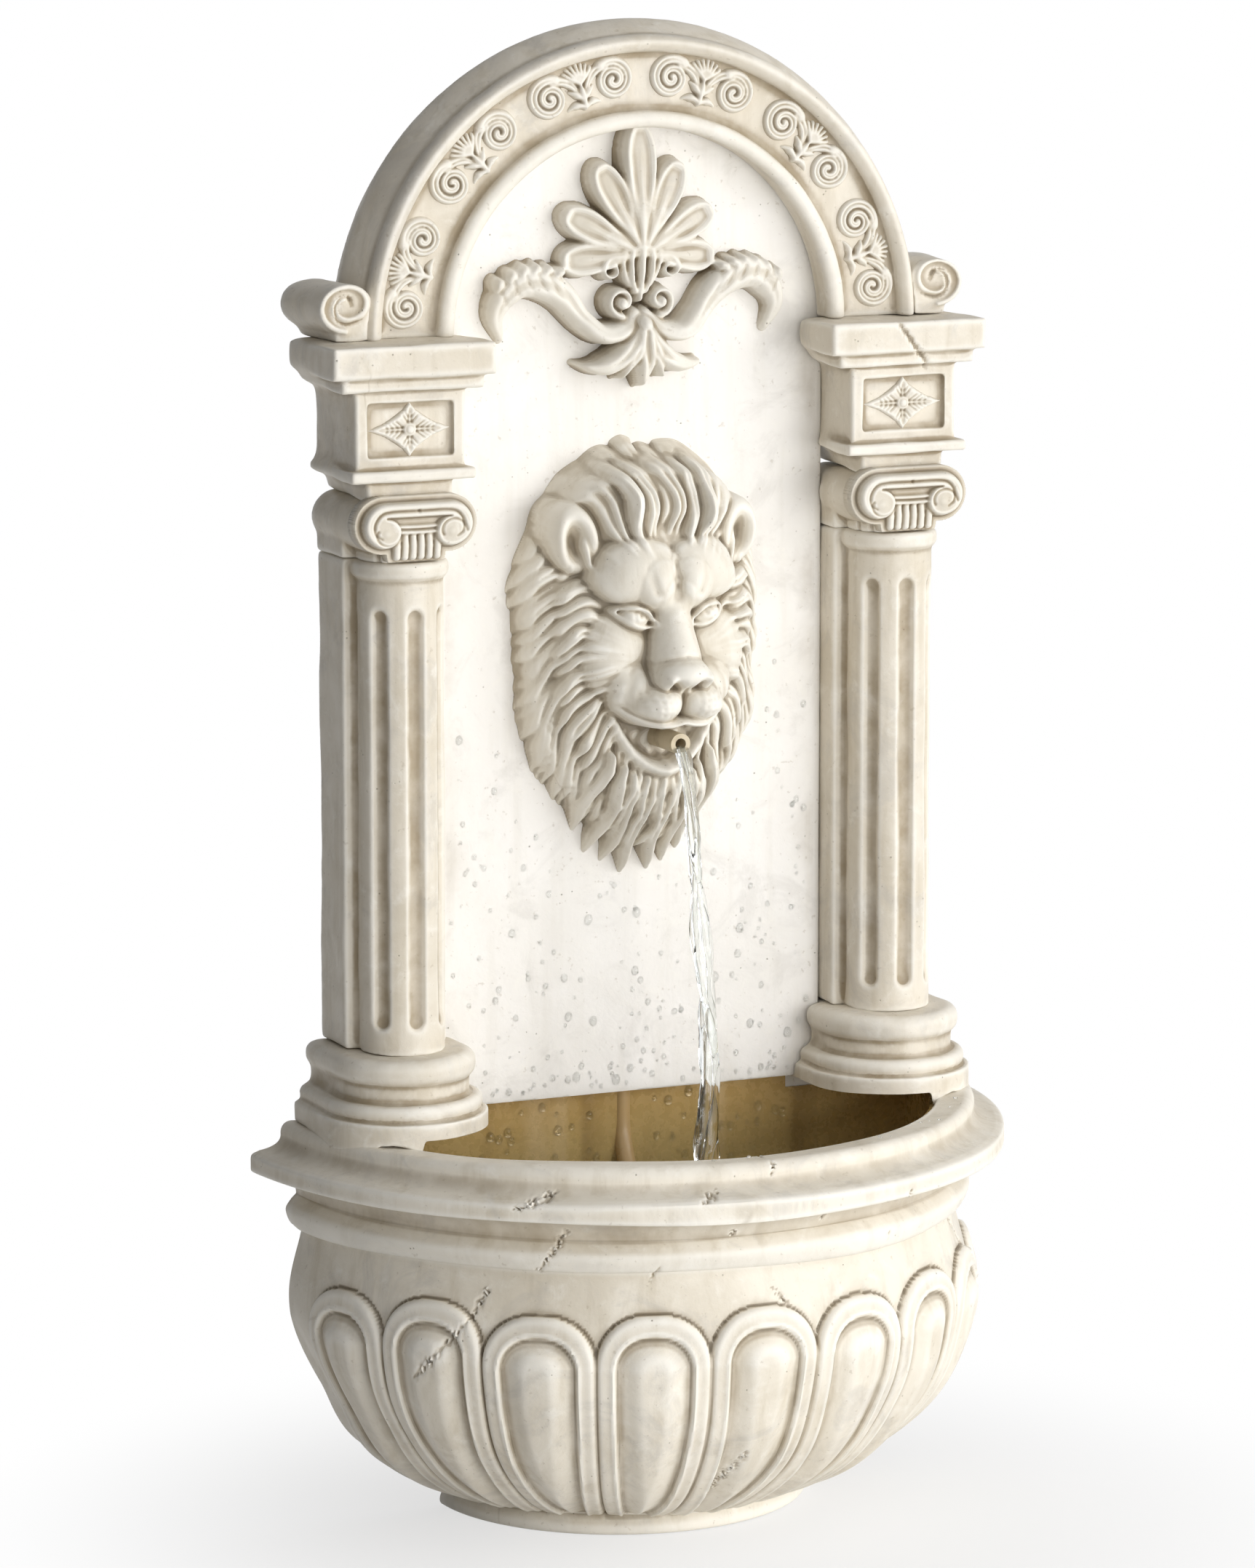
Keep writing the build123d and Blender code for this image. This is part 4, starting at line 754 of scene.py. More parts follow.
class Relief:
    """A carved height over a flat ground, in millimetres."""

    def __init__(self, across: Point, up: Point, step: float) -> None:
        """Lay out the ground.

        Args:
            across: First and last place across.
            up: First and last place up.
            step: Distance between points.
        """
        self.step = step
        self.xs = np.arange(across[0], across[1] + step / 2, step)
        self.zs = np.arange(up[0], up[1] + step / 2, step)
        self.x, self.z = np.meshgrid(self.xs, self.zs)
        self.h = np.zeros_like(self.x)

    def window(self, path: Array, margin: float) -> Window:
        """Find the part of the ground near a path.

        Args:
            path: Rows of two numbers along the path.
            margin: How far beside it the part reaches.

        Returns:
            The part, as rows and columns of the ground.
        """
        low, high = path.min(0) - margin, path.max(0) + margin
        left, right = np.searchsorted(self.xs, [low[0], high[0]])
        bottom, top = np.searchsorted(self.zs, [low[1], high[1]])
        return np.s_[bottom:top, left:right]

    def local(self, centre: Point, tilt: float, part: Window) -> tuple[Array, Array]:
        """Give places about a centre, turned by a tilt in degrees."""
        turn = math.radians(tilt)
        dx, dz = self.x[part] - centre[0], self.z[part] - centre[1]
        return dx * math.cos(turn) + dz * math.sin(turn), dz * math.cos(turn) - dx * math.sin(turn)

    def raise_to(self, part: Window, shape: Array, soft: float) -> None:
        """Join a shape to the ground by its higher surface.

        Args:
            part: The part of the ground that the shape covers.
            shape: The shape's level there.
            soft: How softly the two join.
        """
        old = self.h[part]
        gap = old - shape
        seam = 0.5 * (old + shape + np.sqrt(gap ** 2 + soft ** 2))
        self.h[part] = np.where(np.abs(gap) < 6 * soft, seam, np.maximum(old, shape))

    def dome(self, centre: Point, size: Point, top: float, base: float, tilt: float = 0.0, soft: float = 3.0,
             power: float = 0.5) -> None:
        """Add a rounded boss.

        Args:
            centre: Its middle.
            size: Half its width and half its height.
            top: Level of its crown.
            base: Level of its edge.
            tilt: Its turn in degrees.
            soft: How softly it joins what is there.
            power: 0.5 is a ball's section, less is flatter on top.
        """
        part = self.window(np.array([centre]), max(size))
        u, v = self.local(centre, tilt, part)
        q = (u / size[0]) ** 2 + (v / size[1]) ** 2
        shape = np.where(q < 1, base + (top - base) * np.clip(1 - q, 0, 1) ** power, NOTHING)
        self.raise_to(part, shape, soft)

    def stroke(self, points: Sequence[Point], width: Amounts, top: Amounts,
               base: Amounts, soft: float = 0.0, strands: int = 0, cut: float = 0.3,
               power: float = 0.5, wave: float = 0.0, count: int = 30) -> None:
        """Add a rounded ridge along a line.

        Args:
            points: The line's points.
            width: Its width along the line.
            top: Level of its crown along the line.
            base: Level of its edges along the line.
            soft: How softly it joins what is there.
            strands: Hair strands side by side in it.
            cut: How deep the grooves between strands are, as a share of its height.
            power: 0.5 is a round section, less is flatter on top.
            wave: Shifts the strands' waviness.
            count: Points along the line.
        """
        path = curve_points(points, count)
        part = self.window(path, np.max(width) * 0.6)
        share, side = beside(path, self.x[part], self.z[part])
        q = side / np.maximum(along(width, share) / 2, THIN)
        crown = np.clip(1 - q ** 2, 0, 1) ** power
        if strands:
            lane = (q + 0.16 * np.sin(6 * share + wave) + 1) * strands / 2
            crown = crown * (1 - cut * np.clip(share / 0.15, 0, 1) * np.abs(np.cos(np.pi * lane)) ** 1.5)
        foot = along(base, share)
        shape = np.where(np.abs(q) < 1, foot + (along(top, share) - foot) * crown, NOTHING)
        self.raise_to(part, shape, soft)

    def carve(self, points: Sequence[Point], width: Amounts, depth: Amounts,
              count: int = 30) -> None:
        """Cut a soft groove along a line.

        Args:
            points: The line's points.
            width: Its width along the line.
            depth: Its depth along the line.
            count: Points along the line.
        """
        path = curve_points(points, count)
        part = self.window(path, np.max(width) * 1.6)
        share, side = beside(path, self.x[part], self.z[part])
        self.h[part] -= along(depth, share) * np.exp(-(2 * side / along(width, share)) ** 2)

    def dent(self, centre: Point, size: Point, depth: float, tilt: float = 0.0) -> None:
        """Press a soft hollow of a half width and half height."""
        part = self.window(np.array([centre]), max(size) * 2.6)
        u, v = self.local(centre, tilt, part)
        self.h[part] -= depth * np.exp(-(u / size[0]) ** 2 - (v / size[1]) ** 2)

    def leaf(self, foot: Point, turn: float, length: float, width: float, top: float) -> None:
        """Add a spoon-shaped leaf with a raised rim.

        Args:
            foot: Where it starts.
            turn: Its lean from upright in degrees, to the right.
            length: From foot to tip.
            width: At its widest.
            top: Level of its rim.
        """
        part = self.window(np.array([foot]), length + 2)
        side, rise = self.local(foot, -turn, part)
        t = np.clip(rise / length, 0, 1)
        belly, dish, rim = 0.72, 2.6, 2.2
        swell = 0.24 + 0.76 * np.sin(np.pi / 2 * np.clip(t / belly, 0, 1)) ** 1.7
        tip = np.sqrt(np.clip(1 - (np.clip(t - belly, 0, 1) / (1 - belly)) ** 2, 0, 1))
        half = np.maximum(width / 2 * swell * tip, THIN)
        inside = (np.abs(side) < half) & (rise > 0) & (rise < length)
        margin = np.minimum(half - np.abs(side), (length - rise) * 0.8)
        inward = np.clip(margin / rim, 0, 1)
        edge = np.sqrt(inward * (2 - inward))
        hollow = dish * ease(1.6, width * 0.30, margin) * ease(0.2, 0.6, t)
        rib = 1.6 * np.exp(-(side / (0.10 * width + 0.4)) ** 2) * ease(0.95, 0.35, t)
        level = top - 3.0 * ease(0.55, 1.0, t)
        shape = level * (0.35 + 0.65 * edge) - hollow + rib
        self.raise_to(part, np.where(inside, shape, NOTHING), 0.0)

    def blur(self, field_in: Array, radius: float) -> Array:
        """Average a field over small squares, twice.

        Args:
            field_in: One number for each point of the ground.
            radius: Half the side of the squares.

        Returns:
            The averaged field.
        """
        reach = max(1, round(radius / self.step))
        span = 2 * reach + 1
        out = field_in
        for axis in (0, 1, 0, 1):
            pad = [(0, 0), (0, 0)]
            pad[axis] = (reach + 1, reach)
            total = np.cumsum(np.pad(out, pad, mode="edge"), axis=axis)
            high = np.take(total, np.arange(span, total.shape[axis]), axis)
            out = (high - np.take(total, np.arange(total.shape[axis] - span), axis)) / span
        return out

    def bury(self, drop: float = 1.5) -> Array:
        """Sink the carving's edge below its ground, so that no plate shows round it.

        Args:
            drop: How far below the ground the edge ends.

        Returns:
            A mask of the points to keep.
        """
        keep = self.blur((self.h > 0.4).astype(float), 2.0) > 0.02
        self.h = self.h - drop * ease(0.9, 0.0, self.h)
        return keep

    def sheet(self, name: str, place: Placing, keep: Array) -> Piece:
        """Make a mesh of the carving.

        Args:
            name: The piece's name.
            place: Takes x, z and height in millimetres and returns rows of x, y and z in metres.
            keep: Mask of the points to keep.

        Returns:
            The open sheet.
        """
        rows, columns = self.h.shape

        def lay(column: Array, row: Array) -> Array:
            """Lay each grid point at its carved place."""
            return place(self.x[row, column], self.z[row, column], self.h[row, column])

        piece = grid_sheet(name, columns, rows, lay)
        with editing(piece, ~keep.ravel()):
            bpy.ops.mesh.delete(type="VERT")
        return piece

    def lay_copies(self, name: str, places: Sequence[Placing], drop: float, looks: Point,
                   back: float) -> Piece:
        """Lay the carving in several places as one piece.

        Args:
            name: The piece's name.
            places: For each copy, what sheet takes to lay it.
            drop: How far below the ground the carving's edge ends.
            looks: Reach of the narrow and of the wide look round for hollows.
            back: Distance from the wall at which the copies are closed.

        Returns:
            The joined copies.
        """
        keep = self.bury(drop)
        copies = []
        for place in places:
            copy = self.sheet(name, place, keep)
            mark_recesses(copy, looks[0] * MM, looks[1] * MM)
            close_back(copy, WALL - back * MM)
            copies.append(copy)
        return join(copies, name)


def on_panel(x: Array, z: Array, height: Array) -> Array:
    """Place carving on the panel's face."""
    return np.stack([x * MM, PANEL_FACE - height * MM, z * MM], 1)


class Softness(Enum):
    """How strongly the edges of a casting are rounded: rounds of smoothing."""

    CRISP = 2
    SOFT = 5


@dataclass(frozen=True)
class Groove:
    """A line cut into the front of a casting, in millimetres."""

    points: Sequence[Point]
    width: float
    depth: float
    front: float
    rough: float = 0.0

    def cut(self, places: Array) -> Array:
        """Press the points of a mesh back along the line.

        Args:
            places: Rows of x, y and z in metres.

        Returns:
            The moved rows.
        """
        x, z = places[:, 0] / MM, places[:, 2] / MM
        share, side = beside(curve_points(self.points, 40), x, z)
        ragged = self.width * (1 + self.rough * np.sin(1.7 * x + 2.9 * z) * np.sin(2.3 * z - 1.1 * x))
        shown = ease(self.front - 5, self.front - 2, (WALL - places[:, 1]) / MM)
        ends = ease(0, 0.1, share) * ease(1, 0.9, share)
        moved = places.copy()
        moved[:, 1] += self.depth * MM * np.exp(-(2 * side / ragged) ** 2) * shown * (0.3 + 0.7 * ends)
        return moved


def trim_arch(places: Array) -> Array:
    """Round the arch off towards the wall, and set its two rolls further apart.

    Args:
        places: Rows of x, y and z in metres.

    Returns:
        The moved rows.
    """
    middle = ARCH_MIDDLE
    reach = (WALL - places[:, 1]) / MM
    rise = np.maximum(places[:, 2] - middle, 0)
    radius = np.hypot(places[:, 0], rise) / MM
    # The outer edge draws in at the wall, the outer roll moves out and the inner roll moves in.
    shift = -5.5 * ease(16, 0, reach) * ease(150, 163, radius)
    shift += 3.5 * ease(122, 143, radius) * ease(158, 147, radius) * ease(22, 28, reach)
    shift -= 1.3 * ease(125, 119, radius) * ease(18, 22, reach)
    share = 1 + shift / np.maximum(radius, 1)
    moved = places.copy()
    moved[:, 0] *= share
    rise = (places[:, 2] - middle) * share * ARCH_SQUASH
    moved[:, 2] = np.where(places[:, 2] > middle, middle + rise, places[:, 2])
    return moved


def panel_border_shade_and_wash(places: Array) -> Array:
    """Give the painted shade, with some wash, that darkens the panel along its borders with the arch and the
    columns.

    Args:
        places: Rows of x, y and z in metres.

    Returns:
        The painted shade and wash at each place.
    """
    x, rise = np.abs(places[:, 0]) / MM, (places[:, 2] - ARCH_MIDDLE) / MM
    inset = np.where(rise > 0, 119 - np.hypot(x, rise / ARCH_SQUASH), 112 - x)
    ragged = 9 + 5 * np.sin(0.05 * rise + 0.03 * x) + 3 * np.sin(0.13 * rise)
    return 0.13 * np.exp(-(np.maximum(inset, 0) / ragged) ** 2)


def flatten_capital(places: Array) -> Array:
    """Press a capital's front back to a plain ground for its carved face.

    Args:
        places: Rows of x, y and z in metres.

    Returns:
        The moved rows.
    """
    reach = (WALL - places[:, 1]) / MM
    plain, left_over = 58.5, 0.05
    moved = places.copy()
    moved[:, 1] = WALL - np.where(reach > plain, plain + left_over * (reach - plain), reach) * MM
    return moved


def flare_scroll(places: Array) -> Array:
    """Lower a corner scroll and spread it outwards towards the wall.

    Args:
        places: Rows of x, y and z in metres.

    Returns:
        The moved rows.
    """
    reach = (WALL - places[:, 1]) / MM
    across = np.abs(places[:, 0]) / MM
    shift = (1 + 7 * np.clip(1 - reach / 40, 0, 1)) * ease(158, 180, across)
    foot = places[:, 2].min()
    moved = places.copy()
    moved[:, 2] = foot + 0.85 * (places[:, 2] - foot)
    moved[:, 0] += np.sign(places[:, 0]) * shift * MM
    return moved


def lift_base(places: Array) -> Array:
    """Raise a column base's underside where it hangs over the open basin.

    Args:
        places: Rows of x, y and z in metres.

    Returns:
        The moved rows.
    """
    radius = np.hypot(places[:, 0], WALL - places[:, 1]) / MM
    opening, clear = 170.5, 221.6
    moved = places.copy()
    moved[:, 2] = np.where(radius < opening, np.maximum(places[:, 2], clear * MM), places[:, 2])
    return moved


@dataclass
class Casting:
    """A stone piece whose sharp model is cast with soft, slightly uneven surfaces."""

    node: str
    voxel: float
    softness: Softness = Softness.SOFT
    sway: float = 1.0 * MM
    ripple: float = 0.24 * MM
    reshape: Reshaping | None = None
    grooves: Sequence[Groove] = ()
    melt: int = 0
    # Painted shade and wash to add by place to the recess attribute, if any.
    wash_and_shade: Reshaping | None = None

    def soften_sides(self, piece: Piece) -> None:
        """Run the sides together near the wall, as in a worn mould.

        Args:
            piece: The casting.
        """
        full, sharp, edge = 24, 52, 3 * MM
        places = read_places(piece)
        soft = neighbour_mean(places, *read_edges(piece), self.melt)
        share = ease(sharp, full, (WALL - places[:, 1]) / MM)
        soft[:, 1] = np.where(places[:, 1] > WALL - edge, places[:, 1], soft[:, 1])
        write_places(piece, places + (soft - places) * share[:, None])

    def build(self, finish: Material) -> Piece:
        """Copy the node, round it and dress it.

        Args:
            finish: The stone.

        Returns:
            The cast piece.
        """
        deselect()
        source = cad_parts[self.node]
        piece = bpy.data.objects.new(f"cast_{self.node}", source.data.copy())
        bpy.context.scene.collection.objects.link(piece)
        piece.data.name = piece.name
        with editing(piece):
            bpy.ops.mesh.customdata_custom_splitnormals_clear()
        weld(piece)
        finish_with(piece, "REMESH", mode="VOXEL", voxel_size=self.voxel, use_smooth_shade=True)
        if self.reshape:
            write_places(piece, self.reshape(read_places(piece)))
        finish_with(piece, "SMOOTH", factor=0.5, iterations=self.softness.value)
        if self.melt:
            self.soften_sides(piece)
        for groove in self.grooves:
            write_places(piece, groove.cut(read_places(piece)))
        for name, size, depth in (("cast_sway", 45 * MM, self.sway), ("cast_ripple", 9 * MM, self.ripple)):
            finish_with(piece, "DISPLACE", texture=clouds(name, size), texture_coords="LOCAL",
                        strength=depth, mid_level=0.5)
        places = read_places(piece)
        places[:, 1] = np.minimum(places[:, 1], WALL)
        write_places(piece, places)
        mark_recesses(piece, wash_and_shade=self.wash_and_shade)
        return settle(piece, finish, stands_for=[self.node])


@dataclass
class LionMask:
    """The lion's head on the panel, carved as a height over it, in millimetres."""

    centre: float = 462.0
    outline: Sequence[Point] = ((0, 574), (24, 571), (44, 559), (60, 538), (70, 508), (70, 478), (68, 450),
                                (68, 424), (61, 406), (47, 386), (31, 370), (13, 356), (0, 353))
    relief: Relief = field(default_factory=lambda: Relief((-90, 90), (334, 584), step=0.62))
    chance: np.random.Generator = field(default_factory=lambda: np.random.default_rng(seed=5))
    turn: Array = field(init=False)
    share: Array = field(init=False)

    def ground(self) -> None:
        """Measure the mane's plan about the face and raise the skull."""
        r = self.relief
        rim = np.array(self.outline, float)
        rim_angle = np.arctan2(rim[:, 0], rim[:, 1] - self.centre)
        rim_radius = np.hypot(rim[:, 0], rim[:, 1] - self.centre)
        self.turn = np.arctan2(r.x, r.z - self.centre)
        radius = np.interp(np.abs(self.turn), rim_angle, rim_radius)
        self.share = np.hypot(r.x, r.z - self.centre) / radius
        body = np.interp(r.z, [344, 400, 470, 540, 574], [10, 16, 21, 26, 22])
        r.h = np.where(self.share < 0.9, body * np.clip(1 - (self.share / 0.9) ** 2.2, 0, 1) ** 0.75, 0)
        r.dome((0, 506), (45, 48), 54, 14, soft=6)
        r.dome((0, 468), (41, 58), 49, 14, soft=8)

    def comb(self, count: int, end: float, levels: Sequence[float], fade: float, jag: float,
             spread: Sequence[Point] = ((0, 1), (4, 1))) -> None:
        """Comb one layer of wavy locks from the face to its end.

        Args:
            count: Locks round the whole head.
            end: Share of the way to the outline at which they end.
            levels: Levels of the locks' crowns, evenly from half way to the outline.
            fade: Share over which the ends sink.
            jag: How far the locks' points stand out of the ring's end.
            spread: Turns from the crown, in radians, and the share of the levels there.
        """
        r = self.relief
        away = np.clip(self.share - 0.45, 0, 1)
        aside = np.abs(self.turn)
        side = np.clip(1.4 * np.sin(self.turn), -1, 1) * ease(0.15, 0.9, aside)
        flow = self.turn - side * (2.5 * away ** 2 - 0.10 * away)
        sway = 0.028 + 0.022 * ease(0.5, 1.1, aside)
        flow = flow + sway * np.sin(15 * away + 3 * self.turn) * ease(0, 0.3, away)
        lane = flow / (2 * math.pi) * count + self.chance.uniform(0, 1)
        lane = lane + 0.22 * np.sin(1.9 * lane + self.chance.uniform(0, 6))
        number = np.floor(lane).astype(int) % count
        q = 2 * (lane - np.floor(lane)) - 1
        lift = self.chance.uniform(0.93, 1.07, count)[number]
        phase = self.chance.uniform(0, 6.28, count)[number]
        jag = jag * (0.4 + 0.6 * ease(1.9, 2.6, aside))
        tip = end * (1 + self.chance.uniform(-0.03, 0.02, count))[number] - jag * np.abs(q) ** 1.5
        wave = 1 + 0.05 * np.sin(17 * self.share + phase)
        crown = np.clip(1 - np.abs(q) ** 2.2, 0, 1) ** 0.7
        strand = np.cos(math.pi * (1.5 * q + 0.3 * np.sin(12 * away + phase))) ** 2
        level = np.interp(self.share, np.linspace(0.5, 1.0, len(levels)), levels) * lift * wave
        level = level * np.interp(aside, *np.transpose(spread))
        shape = level * (0.78 + 0.22 * crown - 0.10 * strand * crown)
        shape = shape * np.sqrt(ease(0, fade, tip - self.share))
        r.raise_to(np.s_[:, :], np.where(self.share < tip, shape, NOTHING), 0.0)

    def lock(self, root: Point, tip: Point, wide: float, tops: Sequence[float], bases: Sequence[float],
             swing: float = 3.0) -> None:
        """Comb one wavy lock of hair.

        Args:
            root: Where it grows.
            tip: Where it ends.
            wide: Its greatest width.
            tops: Levels of its crown from root to tip.
            bases: Levels of its edges from root to tip.
            swing: How far it sways to either side.
        """
        share = np.linspace(0, 1, 7)
        ends = np.array([root, tip], float)
        way = ends[1] - ends[0]
        across = np.array([-way[1], way[0]]) / max(TINY, np.hypot(*way))
        phase = self.chance.uniform(0, 6.28)
        sway = swing * np.sin(5.6 * share + phase) * share * (1.3 - share) * 1.6
        line = ends[0] + way * share[:, None] + across * sway[:, None]
        wide = wide * self.chance.uniform(0.9, 1.15)
        widths = [wide * w for w in (0.4, 0.85, 1, 0.92, 0.62, 0.12)]
        self.relief.stroke(line, widths, tops, bases, strands=3, cut=0.34, wave=phase, count=34)

    def mane(self) -> None:
        """Comb two layers of locks and the forelock."""
        self.comb(46, 1.0, (42, 39, 35, 30, 22, 7), 0.05, 0.05)
        self.comb(42, 0.88, (44, 45, 42, 36, 27, 14), 0.12, 0.10,
                  ((0, 0.9), (0.7, 1), (2.3, 1), (2.9, 0.8)))
        self.comb(48, 0.975, (50, 57, 57, 53, 43, 24), 0.07, 0.05,
                  ((0, 1), (0.32, 0.98), (0.52, 0.8), (0.8, 0.3)))

    def brow(self) -> None:
        """Shape the forehead, the frown and the eyes."""
        r = self.relief
        for s in SIDES:
            r.dome((s * 19, 510), (22, 17), 59.5, 44, tilt=-s * 14, soft=9)
            r.dome((s * 9.5, 503), (10.5, 15), 63.5, 46, tilt=s * 10, soft=6)
            r.carve(((s * 17, 516), (s * 15.5, 508), (s * 12.5, 500)), [5, 4.5, 4], [0.1, 0.8, 1.6])
        r.carve(((0, 530), (0.4, 512), (0, 494)), [4, 4, 4.5], [0.6, 2.6, 4.2])
        for s in SIDES:
            r.dent((s * 21, 485.5), (11.5, 6.5), 7.0, tilt=s * 12)
            r.dent((s * 11.5, 478), (4.5, 7), 4.5)
            r.dome((s * 20.0, 486.6), (8.4, 5.6), 57, 45, tilt=s * 14, soft=0.6)
            upper_lid = ((s * 10.2, 482.2), (s * 14.2, 492.0), (s * 23.7, 494.4), (s * 31, 489.6))
            r.stroke(upper_lid, [1.6, 2.6, 2.6, 1.6], [57, 61, 59, 50.5], [50, 50, 48, 44], soft=0.5)
            lower_lid = ((s * 10.2, 482.0), (s * 16.2, 478.7), (s * 25.2, 481.6), (s * 31, 489.2))
            r.stroke(lower_lid, [1.6, 2.4, 2.4, 1.6], [55.5, 56, 54.5, 50], [48, 47, 45, 44], soft=0.5)
            r.carve(((s * 12, 477.0), (s * 20.5, 474.2), (s * 30.5, 480)), 2.6, [1.2, 1.9, 1.0])
            r.carve(spiral((s * 19.0, 487.0), 3.5, 3.5, 0, 1, 16), 1.2, 1.7)
            r.dent((s * 18.8, 487.2), (1.5, 1.5), 2.8)

    def muzzle(self) -> None:
        """Shape the cheeks, the bridge, the nose and the whisker pads."""
        r = self.relief
        for s in SIDES:
            r.dome((s * 27, 466), (19, 24), 53.5, 32, tilt=s * 12, soft=8)
        bridge = ((0, 498), (0, 483), (0, 470), (0, 459))
        r.stroke(bridge, [17, 22, 27, 31], [59, 64, 71, 77], [46, 46, 48, 52], soft=6)
        for s in SIDES:
            r.dome((s * 20, 447), (15, 15), 63, 38, tilt=-s * 18, soft=7)
            r.dome((s * 11.5, 441.5), (15.5, 12.5), 77, 46, tilt=-s * 14, soft=3)
            r.carve(((s * 18, 466), (s * 26, 457), (s * 30, 445), (s * 28, 433)), 5, [0.4, 1.4, 2.2, 2.0])
        r.dome((0, 458), (14.5, 8.5), 82, 62, soft=1.2, power=0.40)
        for s in SIDES:
            r.dome((s * 10, 455.2), (5.6, 5.8), 81, 66, soft=1.2)
            r.dent((s * 7.0, 452.4), (3.2, 2.0), 10, tilt=s * 28)
            wing = ((s * 15.8, 461), (s * 16, 454), (s * 11, 449.6), (s * 4, 450.2))
            r.carve(wing, 2.2, [1.8, 2.8, 2.8, 2.0])
            r.carve(((0, 466.8), (s * 8, 466.4), (s * 14.5, 462.4)), 2.0, [1.0, 1.2, 1.6])
        r.carve(((0, 451.5), (0, 442), (0, 431)), [2, 2.2, 2.8], [2.8, 3.8, 4.4])
        whisker_rows, whiskers = 4, 5
        for s in SIDES:
            for row in range(whisker_rows):
                low = 447.0 - 3.6 * row
                for k in range(whiskers):
                    r.dent((s * (7.5 + 3.9 * k - 0.5 * row), low + 0.3 * k), (0.9, 0.9), 1.3)
                r.carve(((s * 5, low - 1.6), (s * 13, low - 3), (s * 24, low - 1)), 1.7, [0.3, 0.9, 0.4])

    def mouth(self) -> None:
        """Open the mouth under the pads and round the lower lip and chin."""
        r = self.relief
        lip_line = 430.5 + 0.010 * r.x ** 2
        jaw_line = 407.5 + 0.032 * r.x ** 2
        hole = ease(1.5, -1.5, r.z - lip_line) * ease(-1.5, 1.5, r.z - jaw_line) * (np.abs(r.x) < 33)
        cave = 33 + 0.006 * r.x ** 2 + 0.8 * np.sin(0.8 * r.x + 1.1 * np.sin(0.5 * r.z))
        r.h = r.h * (1 - hole) + np.minimum(r.h, cave) * hole
        r.dome((0, 397), (20, 13), 43, 20, soft=5)
        r.stroke(((-32, 442), (-27, 428), (-16, 411), (0, 403), (16, 411), (27, 428), (32, 442)),
                 [6, 7, 8.5, 9.5, 8.5, 7, 6], [44, 43, 46, 49, 46, 43, 44], 30, soft=3, count=60)
        for s in SIDES:
            upper_lip = ((s * 1, 432), (s * 11, 428.5), (s * 22, 431), (s * 32, 441))
            r.stroke(upper_lip, [5, 6, 6, 4], [72, 70, 60, 48], [58, 54, 46, 38], soft=2.5)

    def beard_and_ears(self) -> None:
        """Hang the chin's locks and set the ears."""
        r = self.relief
        tops, bases = (45, 46, 40, 30, 19, 7), (34, 28, 18, 9, 3, 0)
        long_locks = ((28, 412, 36, 366), (21, 405, 27, 355), (13, 400, 17, 348), (5, 398, 8, 344))
        for x, root, tip, end in long_locks:
            for s in SIDES:
                shift = self.chance.uniform(-2, 2, 2)
                self.lock((s * x, root), (s * tip + shift[0], end + shift[1]), 9, tops, bases, swing=4.0)
        tops, bases = (47, 49, 45, 38, 30, 21), (38, 33, 26, 18, 10, 5)
        for x, root, tip, end in ((17, 402, 21, 371), (9, 399, 12, 364), (0, 398, 1, 360)):
            for s in SIDES if x else (1,):
                self.lock((s * x, root), (s * tip, end), 7.5, tops, bases, swing=3.6)
        for s in SIDES:
            r.dent((s * 47, 527), (16, 22), 9, tilt=-s * 8)
            r.dome((s * 46, 526), (13.0, 19.5), 50, 22, tilt=-s * 8, soft=1.2, power=0.45)
            r.dent((s * 47, 524.5), (6.8, 13), 22, tilt=-s * 8)
            outer_tuft = ((s * 40, 510), (s * 42.5, 520), (s * 43.5, 534))
            r.stroke(outer_tuft, [1, 4.6, 1], [44, 40, 33], [34, 26, 22], soft=0.8)
            inner_tuft = ((s * 48.5, 509), (s * 47.5, 517), (s * 47, 527))
            r.stroke(inner_tuft, [1, 3.4, 1], [37, 31, 27], [28, 20, 18], soft=0.8)

    def build(self, finish: Material) -> Piece:
        """Carve the mask and mount it on the panel.

        Args:
            finish: The stone.

        Returns:
            The mask.
        """
        for step in (self.ground, self.mane, self.brow, self.muzzle, self.mouth, self.beard_and_ears):
            step()
        r = self.relief
        r.h = r.blur(r.h, 0.6)
        keep = r.bury()
        piece = r.sheet("lion_head", on_panel, keep)
        mark_recesses(piece)
        close_back(piece, PANEL_FACE + 2 * MM)
        return settle(piece, finish, stands_for=["lion_mask"], angle=180)


